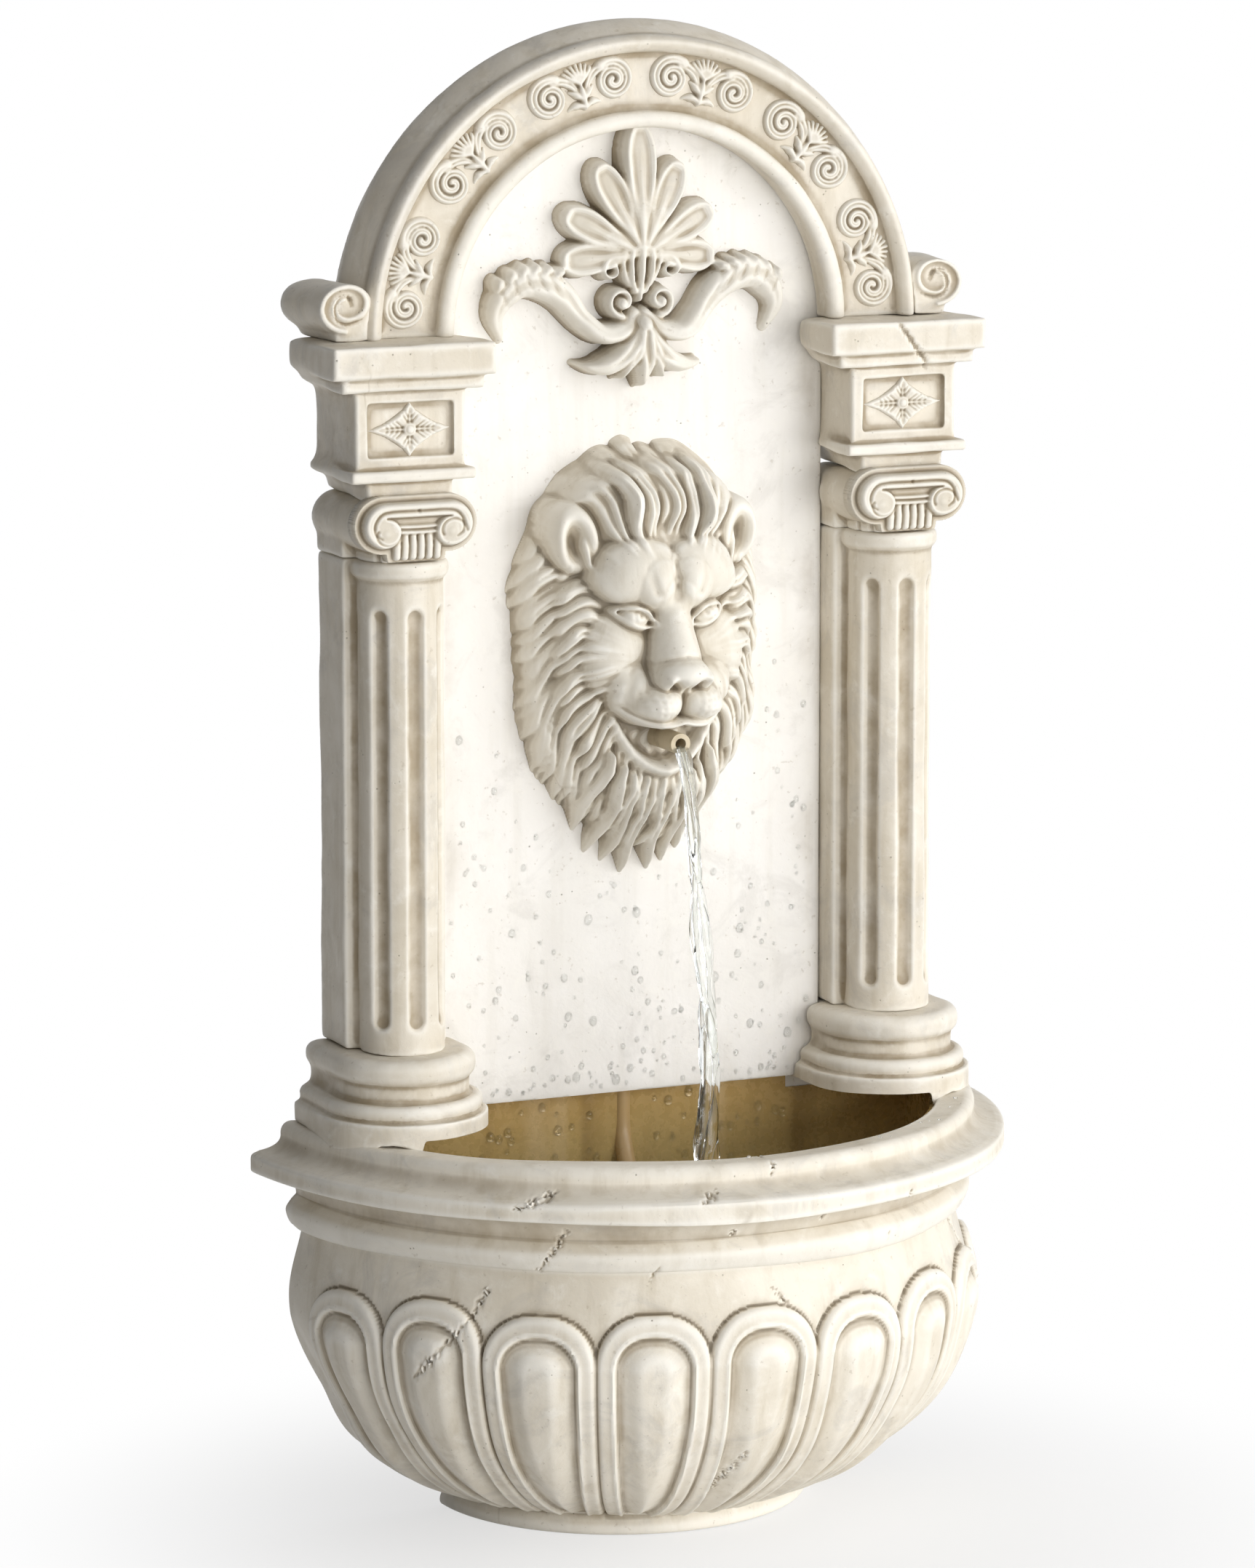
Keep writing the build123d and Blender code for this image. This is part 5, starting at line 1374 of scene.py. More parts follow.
@dataclass
class PalmetteCrest:
    """The seven-leaved palmette with its scroll arms and hanging leaf, in millimetres."""

    foot: Point = (0, 672)
    leaves: Sequence[tuple[float, float, float]] = (
        (94, 45, 19), (62, 49, 18.5), (26, 54, 18.5), (0, 70, 19.5))
    level: float = 17.0
    relief: Relief = field(default_factory=lambda: Relief((-100, 100), (594, 750), step=0.6))

    def fan(self) -> None:
        """Spread the leaves, the outer ones under the inner ones."""
        r = self.relief
        for turn, length, width in self.leaves:
            for s in SIDES if turn else (1,):
                r.leaf(self.foot, s * turn, length, width, self.level - 0.02 * turn)
                between = math.radians(turn - 15)
                if turn:
                    tip = (s * 34 * math.sin(between), self.foot[1] + 34 * math.cos(between))
                    r.stroke((self.foot, tip), [4, 2.6, 1.2], [17, 16, 12], [10, 8, 6])

    def arms(self) -> None:
        """Sweep the two leafy arms out from their inner scrolls."""
        r = self.relief
        for s in SIDES:
            arm = ((3, 641), (10, 633.5), (22, 631), (33, 639), (43, 651), (54, 658), (66, 659.5),
                   (76, 652), (80, 642), (76, 630))
            r.stroke([(s * x, z) for x, z in arm], [7, 10, 11, 13, 16, 18, 18, 16, 11, 5],
                     [13, 14, 15, 16, 18, 19, 18, 15, 11, 6], [4, 4, 4, 4, 4, 4, 4, 3, 2, 0],
                     strands=2, cut=0.10, power=0.33, count=60)
            ruffles = 6
            for k in range(ruffles):
                share = k / (ruffles - 1)
                ruffle = (s * (47 + 33 * share), 664 + 5.5 * math.sin(math.pi * share * 0.9) - 7 * share)
                r.dome(ruffle, (4.4, 3.0), 19 - 3 * share, 8, tilt=-s * (15 + 60 * share), soft=0.8)
                root = (s * (36 + 36 * share), 643 + 6 * math.sin(math.pi * share))
                bend = ((ruffle[0] + root[0]) / 2 + s * 2.5, (ruffle[1] + root[1]) / 2)
                r.carve((ruffle, bend, root), 1.6, [1.2, 0.7, 0.1])
            curl = spiral((s * 11, 647.5), 7.6, 1.4, 270, s * 1.35)
            r.stroke(curl, [5.4, 5, 4.4, 3.6], [14, 16, 17, 18], 5, count=60)
            r.dome((s * 11, 647.5), (2.4, 2.4), 19, 12, soft=0.5)

    def calyx(self) -> None:
        """Set the ribbed cup and its side scrolls under the leaves."""
        r = self.relief
        r.stroke(((-11, 673.5), (0, 677.5), (11, 673.5)), 4, [16, 19, 16], 8, soft=0.5)
        for s in SIDES:
            r.stroke(((s * 5.5, 674), (s * 7.5, 664), (s * 3.0, 652)), [5, 4.6, 3.6], [18, 18, 15], 7)
            r.stroke(((s * 10, 673), (s * 11.5, 664), (s * 6.5, 655)), [4, 3.6, 2.6], [17, 16, 13], 7)
            curl = spiral((s * 16.5, 664), 6.4, 1.4, 150 if s > 0 else 30, -s * 1.3)
            r.stroke(curl, [4.2, 3.8, 3.2, 2.8], [15, 16, 17, 17], 6, count=50)
        r.stroke(((0, 676), (0, 662), (0, 648)), [6.5, 5.5, 4], [19, 18, 14], 8)

    def pendant(self) -> None:
        """Hang the three-pointed leaf."""
        r = self.relief
        for s in SIDES:
            outer = ((s * 2, 635), (s * 8, 618), (s * 21, 609), (s * 35, 615.5))
            r.stroke(outer, [6, 12, 11, 2], [16, 15, 12, 6], [4, 3, 2, 0], strands=2, cut=0.2)
            inner = ((s * 2, 632), (s * 6, 618), (s * 12, 607))
            r.stroke(inner, [5, 8, 2], [17, 15, 8], [6, 4, 1], strands=2, cut=0.2)
        point = ((0, 638), (0, 620), (1, 602))
        r.stroke(point, [6, 12, 12, 2], [18, 17, 14, 6], [6, 4, 2, 0], strands=2, cut=0.28)
        r.dome((0, 636), (4.6, 4.2), 19, 10, soft=0.5)

    def build(self, finish: Material) -> Piece:
        """Carve the crest and mount it on the panel.

        Args:
            finish: The stone.

        Returns:
            The crest.
        """
        for step in (self.fan, self.arms, self.calyx, self.pendant):
            step()
        r = self.relief
        r.h = r.blur(r.h, 0.55)
        keep = r.bury()
        # The hanging leaf stands out further, over the lion's mane.
        r.h = r.h + 11 * ease(648, 622, r.z) * ease(46, 30, np.abs(r.x)) * ease(1.0, 6.0, r.h)
        piece = r.sheet("crest_carving", on_panel, keep)
        mark_recesses(piece)
        close_back(piece, PANEL_FACE + 2 * MM)
        return settle(piece, finish, stands_for=["palmette_crest"], angle=180)


@dataclass
class ArchScrolls:
    """Six scroll and palmette motifs in the arch's band, carved once and laid round the arch."""

    count: int = 6
    step: float = 0.42
    radius: float = 135.0
    band_reach: float = 33.0
    half_length: float = 33.0
    half_height: float = 14.4
    level: float = 4.0
    spread: float = 18.6

    def carve(self) -> Relief:
        """Carve one motif: along the arch is across, away from its centre is up.

        Returns:
            The carving.
        """
        r = Relief((-self.half_length, self.half_length), (-self.half_height, self.half_height), self.step)
        top = self.level
        for s in SIDES:
            start = 125 if s > 0 else 55
            stem = ((s * 2, -3.5), (s * 5, 3.5), (s * 9.5, 7.5), (s * 14.4, 7.3))
            r.stroke(stem, [2.4, 4.4, 5.2, 5.6], [top * 0.8, top], 0, strands=2, cut=0.42, power=0.28)
            curl = spiral((s * self.spread, -0.4), 10.4, 1.0, start, -s * 2.0, 80)
            r.stroke(curl, [5.8, 5.4, 4.8, 3.6], [top, top, top + 0.8], 0, strands=2, cut=0.5, power=0.28,
                     count=120)
            upper = ((s * 0.4, -7), (s * 3.2, -3.6), (s * 7.2, -1.2))
            r.stroke(upper, [2.6, 4.2, 0.8], [top, top, top * 0.7], 0)
            lower = ((s * 0.4, -11.4), (s * 4.5, -7.6), (s * 10.5, -10.8))
            r.stroke(lower, [2.5, 4.4, 0.8], [top, top * 0.9, top * 0.4], 0)
        rays = 7
        for k in range(rays):
            lean = math.radians(-40 + 80 * k / (rays - 1))
            reach = 12.4 - 1.6 * abs(math.sin(lean))
            ray = ((0.6 * math.sin(lean), 0.8), (reach * math.sin(lean), 0.3 + reach * math.cos(lean)))
            r.stroke(ray, [1.0, 2.1, 1.5], [top * 0.8, top, top * 0.8], 0)
        r.stroke(((0, -11.8), (0, -5), (0, 2.6)), [2.6, 5.2, 0.8], [top, top + 0.5, top * 0.9], 0)
        r.h = r.blur(r.h, 0.4)
        return r

    def place(self, turn: float, x: Array, z: Array, height: Array) -> Array:
        """Bend a motif round the arch.

        Args:
            turn: Its turn from the crown, in radians.
            x: Places across the motif.
            z: Places up the motif.
            height: Its carved height there.

        Returns:
            Rows of x, y and z in metres.
        """
        angle = turn + x / self.radius
        out = (self.radius + z) * MM
        return np.stack([out * np.sin(angle), WALL - (self.band_reach + height) * MM,
                         ARCH_MIDDLE + out * np.cos(angle) * ARCH_SQUASH], 1)

    def build(self, finish: Material) -> Piece:
        """Lay the motifs round the arch.

        Args:
            finish: The stone.

        Returns:
            The joined motifs.
        """
        span = math.pi / self.count
        places = [partial(self.place, span * (k + 0.5) - math.pi / 2) for k in range(self.count)]
        piece = self.carve().lay_copies("arch_motifs", places, 0.9, (1.0, 3.0), self.band_reach - 2.5)
        return settle(piece, finish, stands_for=["arch_scrollwork"], angle=180)


@dataclass
class FriezeStars:
    """The four-pointed leaf stars in the sunk panels of the frieze, in millimetres."""

    step: float = 0.32
    centre: Point = (141.0, 589.5)
    half: Point = (24.5, 14.8)
    ground_reach: float = 56.0
    level: float = 2.6

    def carve(self) -> Relief:
        """Carve one star with veined points and a boss.

        Returns:
            The carving.
        """
        wide, tall = self.half
        r = Relief((-wide - 3, wide + 3), (-tall - 3, tall + 3), self.step)
        away = (np.abs(r.x) / wide) ** 0.74 + (np.abs(r.z) / tall) ** 0.74
        r.h = self.level * np.sqrt(ease(1.0, 0.93, away)) - 0.9 * ease(0.9, 0.3, away)
        for s in SIDES:
            for along_x in (True, False):
                far = (wide if along_x else tall) - 2.5
                for t in SIDES:
                    rib = ((s * 3, t * 0.9), (s * far, t * 0.4))
                    r.carve(rib if along_x else [(v, u) for u, v in rib], 1.1, [1.0, 0.7])
                    veins = 4 if along_x else 2
                    for k in range(veins):
                        root = 3.6 + 3.0 * k
                        vein = ((s * root, t * 1.0), (s * (root + 4.4), t * 4.4))
                        r.carve(vein if along_x else [(v, u) for u, v in vein], 1.1, [0.9, 0.7])
        r.dome((0, 0), (3.6, 3.6), self.level + 0.5, 1.2, soft=0.2)
        r.carve(spiral((0, 0), 2.2, 2.2, 0, 1, 16), 0.7, 0.6)
        r.h = r.blur(r.h, 0.32)
        return r

    def place(self, s: int, x: Array, z: Array, height: Array) -> Array:
        """Lay a star on the sunk ground of the left (-1) or right (1) frieze."""
        return np.stack([(s * self.centre[0] + x) * MM, WALL - (self.ground_reach + height) * MM,
                         (self.centre[1] + z) * MM], 1)

    def build(self, finish: Material) -> Piece:
        """Set a star in each sunk panel."""
        piece = self.carve().lay_copies("frieze_stars", [partial(self.place, s) for s in SIDES], 0.8,
                                        (0.8, 2.5), self.ground_reach - 1.6)
        return settle(piece, finish, stands_for=["frieze_rosettes"], angle=180)


@dataclass
class CapitalFaces:
    """The carved fronts of the two scroll capitals, in millimetres."""

    step: float = 0.33
    middle: float = 141.0
    ground_reach: float = 66.0
    level: float = 5.2
    scale: Point = (0.95, 0.88)
    top: float = 553.0
    disc: Point = (18.7, 539.7)
    disc_radius: float = 13.4
    eye: Point = (19.0, 535.5)
    eye_radius: float = 8.8

    def carve(self) -> Relief:
        """Carve the scroll band with its two curls, the sunk field and the bead under it.

        Returns:
            The carving.
        """
        r = Relief((-36, 36), (518, 557), self.step)
        across = np.abs(r.x)
        discs = np.hypot(across - self.disc[0], r.z - self.disc[1]) - self.disc_radius
        band = np.maximum(np.maximum(across - self.disc[0], 541 - r.z), r.z - 553.1)
        inside = np.clip(-np.minimum(discs, band) / 2.2, 0, 1)
        r.h = self.level * np.sqrt(np.clip(1 - (1 - inside) ** 2, 0, 1))
        away = np.hypot(across - self.eye[0], r.z - self.eye[1])
        sunk = ease(19.6, 18.6, across) * ease(545.2, 544.2, r.z) * ease(8.2, 9.2, away)
        r.h = r.h - (r.h - 1.2) * sunk * (r.h > 1.2)
        field_shape = ease(17, 15, across) * ease(534, 536, r.z) * ease(545, 544, r.z)
        r.h = np.maximum(r.h, 1.2 * field_shape)
        for s in SIDES:
            ring = ((0, 548.3), (s * 16, 548.3), (s * 22.5, 546.5), (s * 26, 541), (s * 25.5, 535.5),
                    (s * 22, 532.6))
            r.carve(ring, [1.7, 1.7, 1.7, 1.6, 1.4, 1.0], [1.9, 1.9, 1.9, 1.8, 1.6, 1.0])
            eye = (s * self.eye[0], self.eye[1])
            r.carve(spiral(eye, self.eye_radius, 5.4, math.pi / 2, 0.55 * s), 1.3, 1.3)
            r.dome(eye, (4.8, 4.8), self.level + 0.5, 2.6, soft=0.5)
        r.stroke(((-15, 539.2), (0, 538.2), (15, 539.2)), 2.4, 3.2, 0.6, soft=0.3)
        r.stroke(((-14, 536.0), (0, 535.0), (14, 536.0)), 2.6, 3.6, 0.6, soft=0.3)
        flutes = 6
        for k in range(flutes):
            u = (k - (flutes - 1) / 2) * 4.7
            r.stroke(((u, 534), (u, 527), (u, 521)), [3.6, 4.4, 4.0], [2.6, 2.8, 2.0], 0.5, soft=0.2)
        r.h = r.blur(r.h, 0.4)
        return r

    def place(self, s: int, x: Array, z: Array, height: Array) -> Array:
        """Lay a face on the plain ground of the left (-1) or right (1) capital."""
        return np.stack([(s * self.middle + self.scale[0] * x) * MM, WALL - (self.ground_reach + height) * MM,
                         (self.top + self.scale[1] * (z - self.top)) * MM], 1)

    def build(self, finish: Material) -> Piece:
        """Set a face on each capital."""
        piece = self.carve().lay_copies("capital_faces", [partial(self.place, s) for s in SIDES], 0.8,
                                        (0.9, 3.0), self.ground_reach - 10.5)
        return settle(piece, finish, stands_for=["left_capital", "right_capital"], angle=180)


@dataclass
class Basin:
    """The half-round bowl with its tongue-shaped lobes and moulded rim, in millimetres."""

    columns: int = 520
    foot_radius: float = 102.0
    foot_height: float = 13.0
    bowl_radius: float = 190.0
    bowl_height: float = 114.0
    neck_radius: float = 181.0
    neck_height: float = 164.0
    rim_radius: float = 210.0
    lip_radius: float = 192.0
    lip_top: float = 219.0
    cavity_radius: float = 172.0
    cavity_bend: float = 100.0
    floor: float = 26.0
    floor_radius: float = 100.0
    back: float = 8.0
    panel_bottom: float = 222.0
    lobe_count: int = 9
    lobe_turn: float = 18.0
    lobe_top: float = 141.0
    lobe_bottom: float = 11.0
    border: float = 9.5
    border_rise: float = 4.2
    tuck: float = 9.0
    chips: Sequence[tuple[Point, Point, float]] = (
        ((-150, 150), (-158, 134), 2.2), ((-160, 130), (-186, 104), 2.4), ((-106, 183), (-120, 163), 2.0),
        ((-126, 201), (-110, 207), 2.0), ((-38, 203), (-30, 206), 1.5), ((-17, 181), (-16, 183), 1.5),
        ((36, 185), (37, 187), 1.4), ((76, 194), (77, 197), 1.6), ((80, 168), (81, 171), 1.6),
        ((8, 150), (16, 142), 1.6), ((-6, 66), (-16, 40), 3.0), ((170, 168), (190, 140), 2.6),
        ((190, 140), (200, 118), 2.6), ((2, 213), (4, 218), 1.2), ((-60, 158), (-57, 166), 1.4))

    def bowl_line(self) -> tuple[Array, int]:
        """Draw the bowl from under the foot, up to the neck and down inside.

        Returns:
            Rows of radius and height, and the number of rows outside.
        """
        foot, neck, high = self.foot_radius, self.neck_radius, self.neck_height
        belly = (self.bowl_radius, self.bowl_height)
        heel = (foot - 4, self.foot_height)
        bend = (self.cavity_radius, self.cavity_bend)
        flat = (self.floor_radius, self.floor)
        outer = chain(
            (((0, 0), (foot - 1.5, 0)), 6),
            (((foot - 1.5, 0), (foot + 2.5, 0.5), (foot + 2.5, 6), heel), 12),
            ((heel, (143, 28), (belly[0] - 4, 60), belly), 108),
            ((belly, (belly[0], 140), (neck + 1, 152), (neck, high)), 40))
        inner = chain(
            (((bend[0], high), bend), 4),
            ((bend, (bend[0], 52), (flat[0] + 38, flat[1]), flat), 10),
            ((flat, (self.back, self.floor)), 4))
        return np.vstack([outer, inner]), len(outer)

    def rim_line(self) -> Array:
        """Draw the rim's section as a closed loop that starts on the neck.

        Returns:
            Rows of radius and height.
        """
        neck, low = self.neck_radius, self.neck_height
        edge, lip, top = self.rim_radius, self.lip_radius, self.lip_top
        inner = self.cavity_radius
        return chain(
            (((inner, low), (neck, low)), 3),
            (((neck, low), (neck + 6, low - 1), (neck + 9.5, low + 7), (neck + 7, low + 12),
              (neck + 3.5, low + 15.5)), 22),
            (((neck + 3.5, low + 15.5), (neck + 3.5, 186), (neck + 9, 192), (edge - 6, 193)), 20),
            (((edge - 6, 193), (edge - 0.6, 193.5), (edge, 198), (edge - 0.6, 202.5), (edge - 5, 204.5)), 18),
            (((edge - 5, 204.5), (edge - 12, 205.5), (lip + 1, 207.5), (lip + 1, 212)), 16),
            (((lip + 1, 212), (lip + 1.4, 216), (lip - 1, top), (lip - 5, top)), 14),
            (((lip - 5, top), (inner + 4, top - 0.6)), 8),
            (((inner + 4, top - 0.6), (inner + 0.5, top - 0.8), (inner, top - 4)), 8),
            (((inner, top - 4), (inner, low)), 5))

    def lobes(self, angle: Array, line: Array, row: Array, outer: int) -> Array:
        """Give the lobes' rise over the bowl: a flat border, a thin step down and a swelling pad.

        Args:
            angle: Turn of each point from the front, in radians.
            line: The profile.
            row: Number of each point's place on the profile.
            outer: Rows of the profile that lie outside.

        Returns:
            The rise in millimetres.
        """
        run = np.concatenate([[0], np.cumsum(np.hypot(*np.diff(line, axis=0).T))])
        bottom = run[np.argmin(np.abs(line[:outer, 1] - self.lobe_bottom))]
        top = run[np.argmin(np.abs(line[:outer, 1] - self.lobe_top))]
        pitch = math.radians(self.lobe_turn)
        number = np.clip(np.rint(angle / pitch), -(self.lobe_count // 2), self.lobe_count // 2)
        place = run[row] + 1.2 * np.sin(2.7 * number) - 1.0 * np.cos(4.1 * number)
        half = pitch / 2 * line[row, 0] + 0.4
        crown = pitch / 2 * self.bowl_radius
        side = np.abs(angle - number * pitch) * line[row, 0]
        shoulder = top - crown
        past = np.clip(place - shoulder, 0, None)
        inset = half - (side ** 2.3 + (past * half / crown) ** 2.3) ** (1 / 2.3)
        inset = np.minimum(inset, (place - bottom) * 1.2 + 3)
        width = self.border + 2.0 * ease(0, crown, past)
        band = self.border_rise * np.sqrt(np.clip(1 - (1 - np.clip(inset / 3.4, 0, 1)) ** 2, 0, 1))
        edge = 0.7 * np.exp(-((inset - width + 0.6) / 1.2) ** 2)
        step = 2.3 * ease(width - 0.2, width + 1.9, inset)
        pad = 4.6 * ease(width + 1.0, width + 15, inset)
        lines = -0.7 * np.exp(-(np.maximum(inset, 0) / 0.9) ** 2) * (inset > -1.2)
        rise = np.where(inset > 0, band + edge - step + pad, 0) + lines
        fade = ease(bottom - 4, bottom + 10, place)
        return np.where((row < outer) & (place > bottom - 4), rise * fade, 0)

    def scars(self, angle: Array, height: Array) -> Array:
        """Give the rise and fall of the rough chips that the stone carries.

        Args:
            angle: Turn of each point from the front, in radians.
            height: Height of each point.

        Returns:
            The rise in millimetres, below 0 in a chip.
        """
        across = angle * self.bowl_radius
        rough = np.sin(1.9 * across + 2.3 * np.sin(0.9 * height))
        rough = rough * np.sin(2.1 * height + 1.7 * np.sin(1.1 * across))
        rough = rough + 0.6 * np.sin(3.3 * across - 2.9 * height) - 0.55
        rise = np.zeros_like(angle)
        for first, last, width in self.chips:
            ux, uz = last[0] - first[0], last[1] - first[1]
            dx, dz = across - first[0], height - first[1]
            share = np.clip((dx * ux + dz * uz) / (ux ** 2 + uz ** 2), 0, 1)
            ragged = width * (0.75 + 0.35 * np.sin(0.8 * across + 0.6 * height))
            away = np.hypot(dx - share * ux, dz - share * uz)
            rise += 1.1 * rough * np.exp(-(away / ragged) ** 4)
        return rise

    def turned(self, name: str, line: Array, outer: int) -> Piece:
        """Turn a profile half round the wall line, with lobes, chips and a hand-made unevenness.

        Args:
            name: The piece's name.
            line: Rows of radius and height.
            outer: Rows that lie outside and carry the marks.

        Returns:
            The open half-round sheet.
        """
        slope = np.gradient(line, axis=0)
        slope /= np.maximum(np.linalg.norm(slope, axis=1, keepdims=True), TINY)
        outside = np.arange(len(line)) < outer
        # Marks fade towards the foot, and over the lip towards the cavity.
        past_lip = line[:, 0] + 80 * (line[:, 1] < self.neck_height)
        shown = ease(1, 14, line[:, 1]) * outside * ease(self.cavity_radius, self.cavity_radius + 4, past_lip)
        start = np.where(outside, 0.0, self.back)

        def place(column: Array, row: Array) -> Array:
            """Turn each point to its place and lift it by its marks."""
            radius, height = line[row, 0], line[row, 1]
            share = 2 * column / (self.columns - 1) - 1
            angle = np.arccos(np.clip(start[row] / np.maximum(radius, TINY), -1, 1)) * share
            ends = ease(0, 0.06, math.pi / 2 - np.abs(angle))
            wobble = 0.8 * np.sin(3.1 * angle + 0.04 * height) + 0.45 * np.sin(7.3 * angle + 0.11 * height)
            lift = wobble + self.scars(angle, height)
            if height.min() < self.lobe_bottom:
                lift = lift + self.lobes(angle, line, row, outer)
            lift = lift * shown[row] * ends
            tuck = self.tuck * ease(0.9, 1.9, np.abs(angle)) * ease(135, 72, height) * ease(40, 72, height)
            lift = lift - tuck * (row < outer)
            radius = np.clip(radius + lift * slope[row, 1], 0, self.rim_radius)
            return round_wall(radius, angle, np.maximum(height - lift * slope[row, 0], 0))

        piece = grid_sheet(name, self.columns, len(line), place)
        weld(piece)
        return piece

    def build_bowl(self, finish: Material) -> Piece:
        """Shape the lobed bowl with its cavity and low back.

        Args:
            finish: The stone.

        Returns:
            The bowl.
        """
        line, outer = self.bowl_line()
        piece = self.turned("basin_bowl", line, outer)
        places = read_places(piece)
        at_wall = places[:, 1] > WALL - TOUCH
        at_back = np.abs(places[:, 1] - WALL + self.back * MM) < 2 * TOUCH
        at_back &= places[:, 2] > (self.floor - 1) * MM
        at_back &= np.abs(places[:, 0]) < (self.cavity_radius + 0.1) * MM
        at_top = np.abs(places[:, 2] - self.neck_height * MM) < TOUCH
        for mask in (at_wall, at_back, at_top & (at_wall | at_back)):
            fill(piece, mask)
        face_outwards(piece)
        mark_recesses(piece)
        return settle(piece, finish, stands_for=["basin_shell"], angle=50)

    def build_rim(self, finish: Material) -> Piece:
        """Shape the moulded rim and the back wall under the panel.

        Args:
            finish: The stone.

        Returns:
            The rim.
        """
        line = self.rim_line()
        piece = self.turned("basin_rim", line, len(line))
        places = read_places(piece)
        for s in SIDES:
            fill(piece, (places[:, 1] > WALL - TOUCH) & (s * places[:, 0] > 0))
        deselect()
        middle = (self.neck_height + self.panel_bottom) / 2 * MM
        tall = (self.panel_bottom - self.neck_height) * MM
        bpy.ops.mesh.primitive_cube_add(size=1, location=(0, WALL - self.back / 2 * MM, middle))
        wall = bpy.context.object
        wall.scale = (2 * self.cavity_radius * MM, self.back * MM, tall)
        bpy.ops.object.transform_apply(location=True, rotation=True, scale=True)
        join([piece, wall], piece.name)
        face_outwards(piece)
        mark_recesses(piece)
        return settle(piece, finish, stands_for=["basin_shell"], angle=50)

    def build(self, finish: Material) -> None:
        """Make the basin in its two pieces."""
        self.build_bowl(finish)
        self.build_rim(finish)


@dataclass
class Liner:
    """The bronze-coated tub inside the bowl, in millimetres."""

    columns: int = 120
    radius: float = 169.2
    bend: float = 100.0
    floor: float = 28.5
    floor_radius: float = 97.2
    top: float = 213.7
    back: float = 10.8
    wall: float = 2.4
    panel_bottom: float = 221.6
    panel_half: float = 96.0

    def build(self, finish: Material) -> Piece:
        """Sweep the tub's inside, close its back and thicken it outwards.

        Args:
            finish: The coat.

        Returns:
            The tub.
        """
        bend, flat = (self.radius, self.bend), (self.floor_radius, self.floor)
        line = chain((((self.radius, self.top), bend), 12),
                     ((bend, (bend[0], bend[1] - 48), (flat[0] + 38, flat[1]), flat), 22),
                     ((flat, (self.back, self.floor)), 10))

        def place(column: Array, row: Array) -> Array:
            """Turn the tub's line between the two ends of its flat back."""
            radius = line[row, 0]
            reach = np.arccos(np.clip(self.back / radius, -1, 1))
            angle = reach * (2 * column / (self.columns - 1) - 1)
            return round_wall(radius, angle, line[row, 1])

        piece = grid_sheet("tub_coat", self.columns, len(line), place)
        weld(piece)
        fill(piece, np.abs(read_places(piece)[:, 1] - (WALL - self.back * MM)) < 2 * TOUCH)
        self.raise_back(piece)
        with editing(piece):
            bpy.ops.mesh.normals_make_consistent(inside=True)
        finish_with(piece, "SOLIDIFY", thickness=self.wall * MM, offset=-1.0)
        return settle(piece, finish, stands_for=["basin_liner"], angle=40)

    def raise_back(self, piece: Piece) -> None:
        """Carry the back wall up to the panel between the column bases.

        Args:
            piece: The tub, which takes up the strip.
        """
        deselect()
        middle = (self.top + self.panel_bottom) / 2 * MM
        bpy.ops.mesh.primitive_plane_add(size=1, location=(0, WALL - self.back * MM, middle),
                                         rotation=(math.pi / 2, 0, 0))
        strip = bpy.context.object
        strip.scale = (2 * self.panel_half * MM, (self.panel_bottom - self.top) * MM, 1)
        bpy.ops.object.transform_apply(location=True, rotation=True, scale=True)
        join([piece, strip], piece.name)


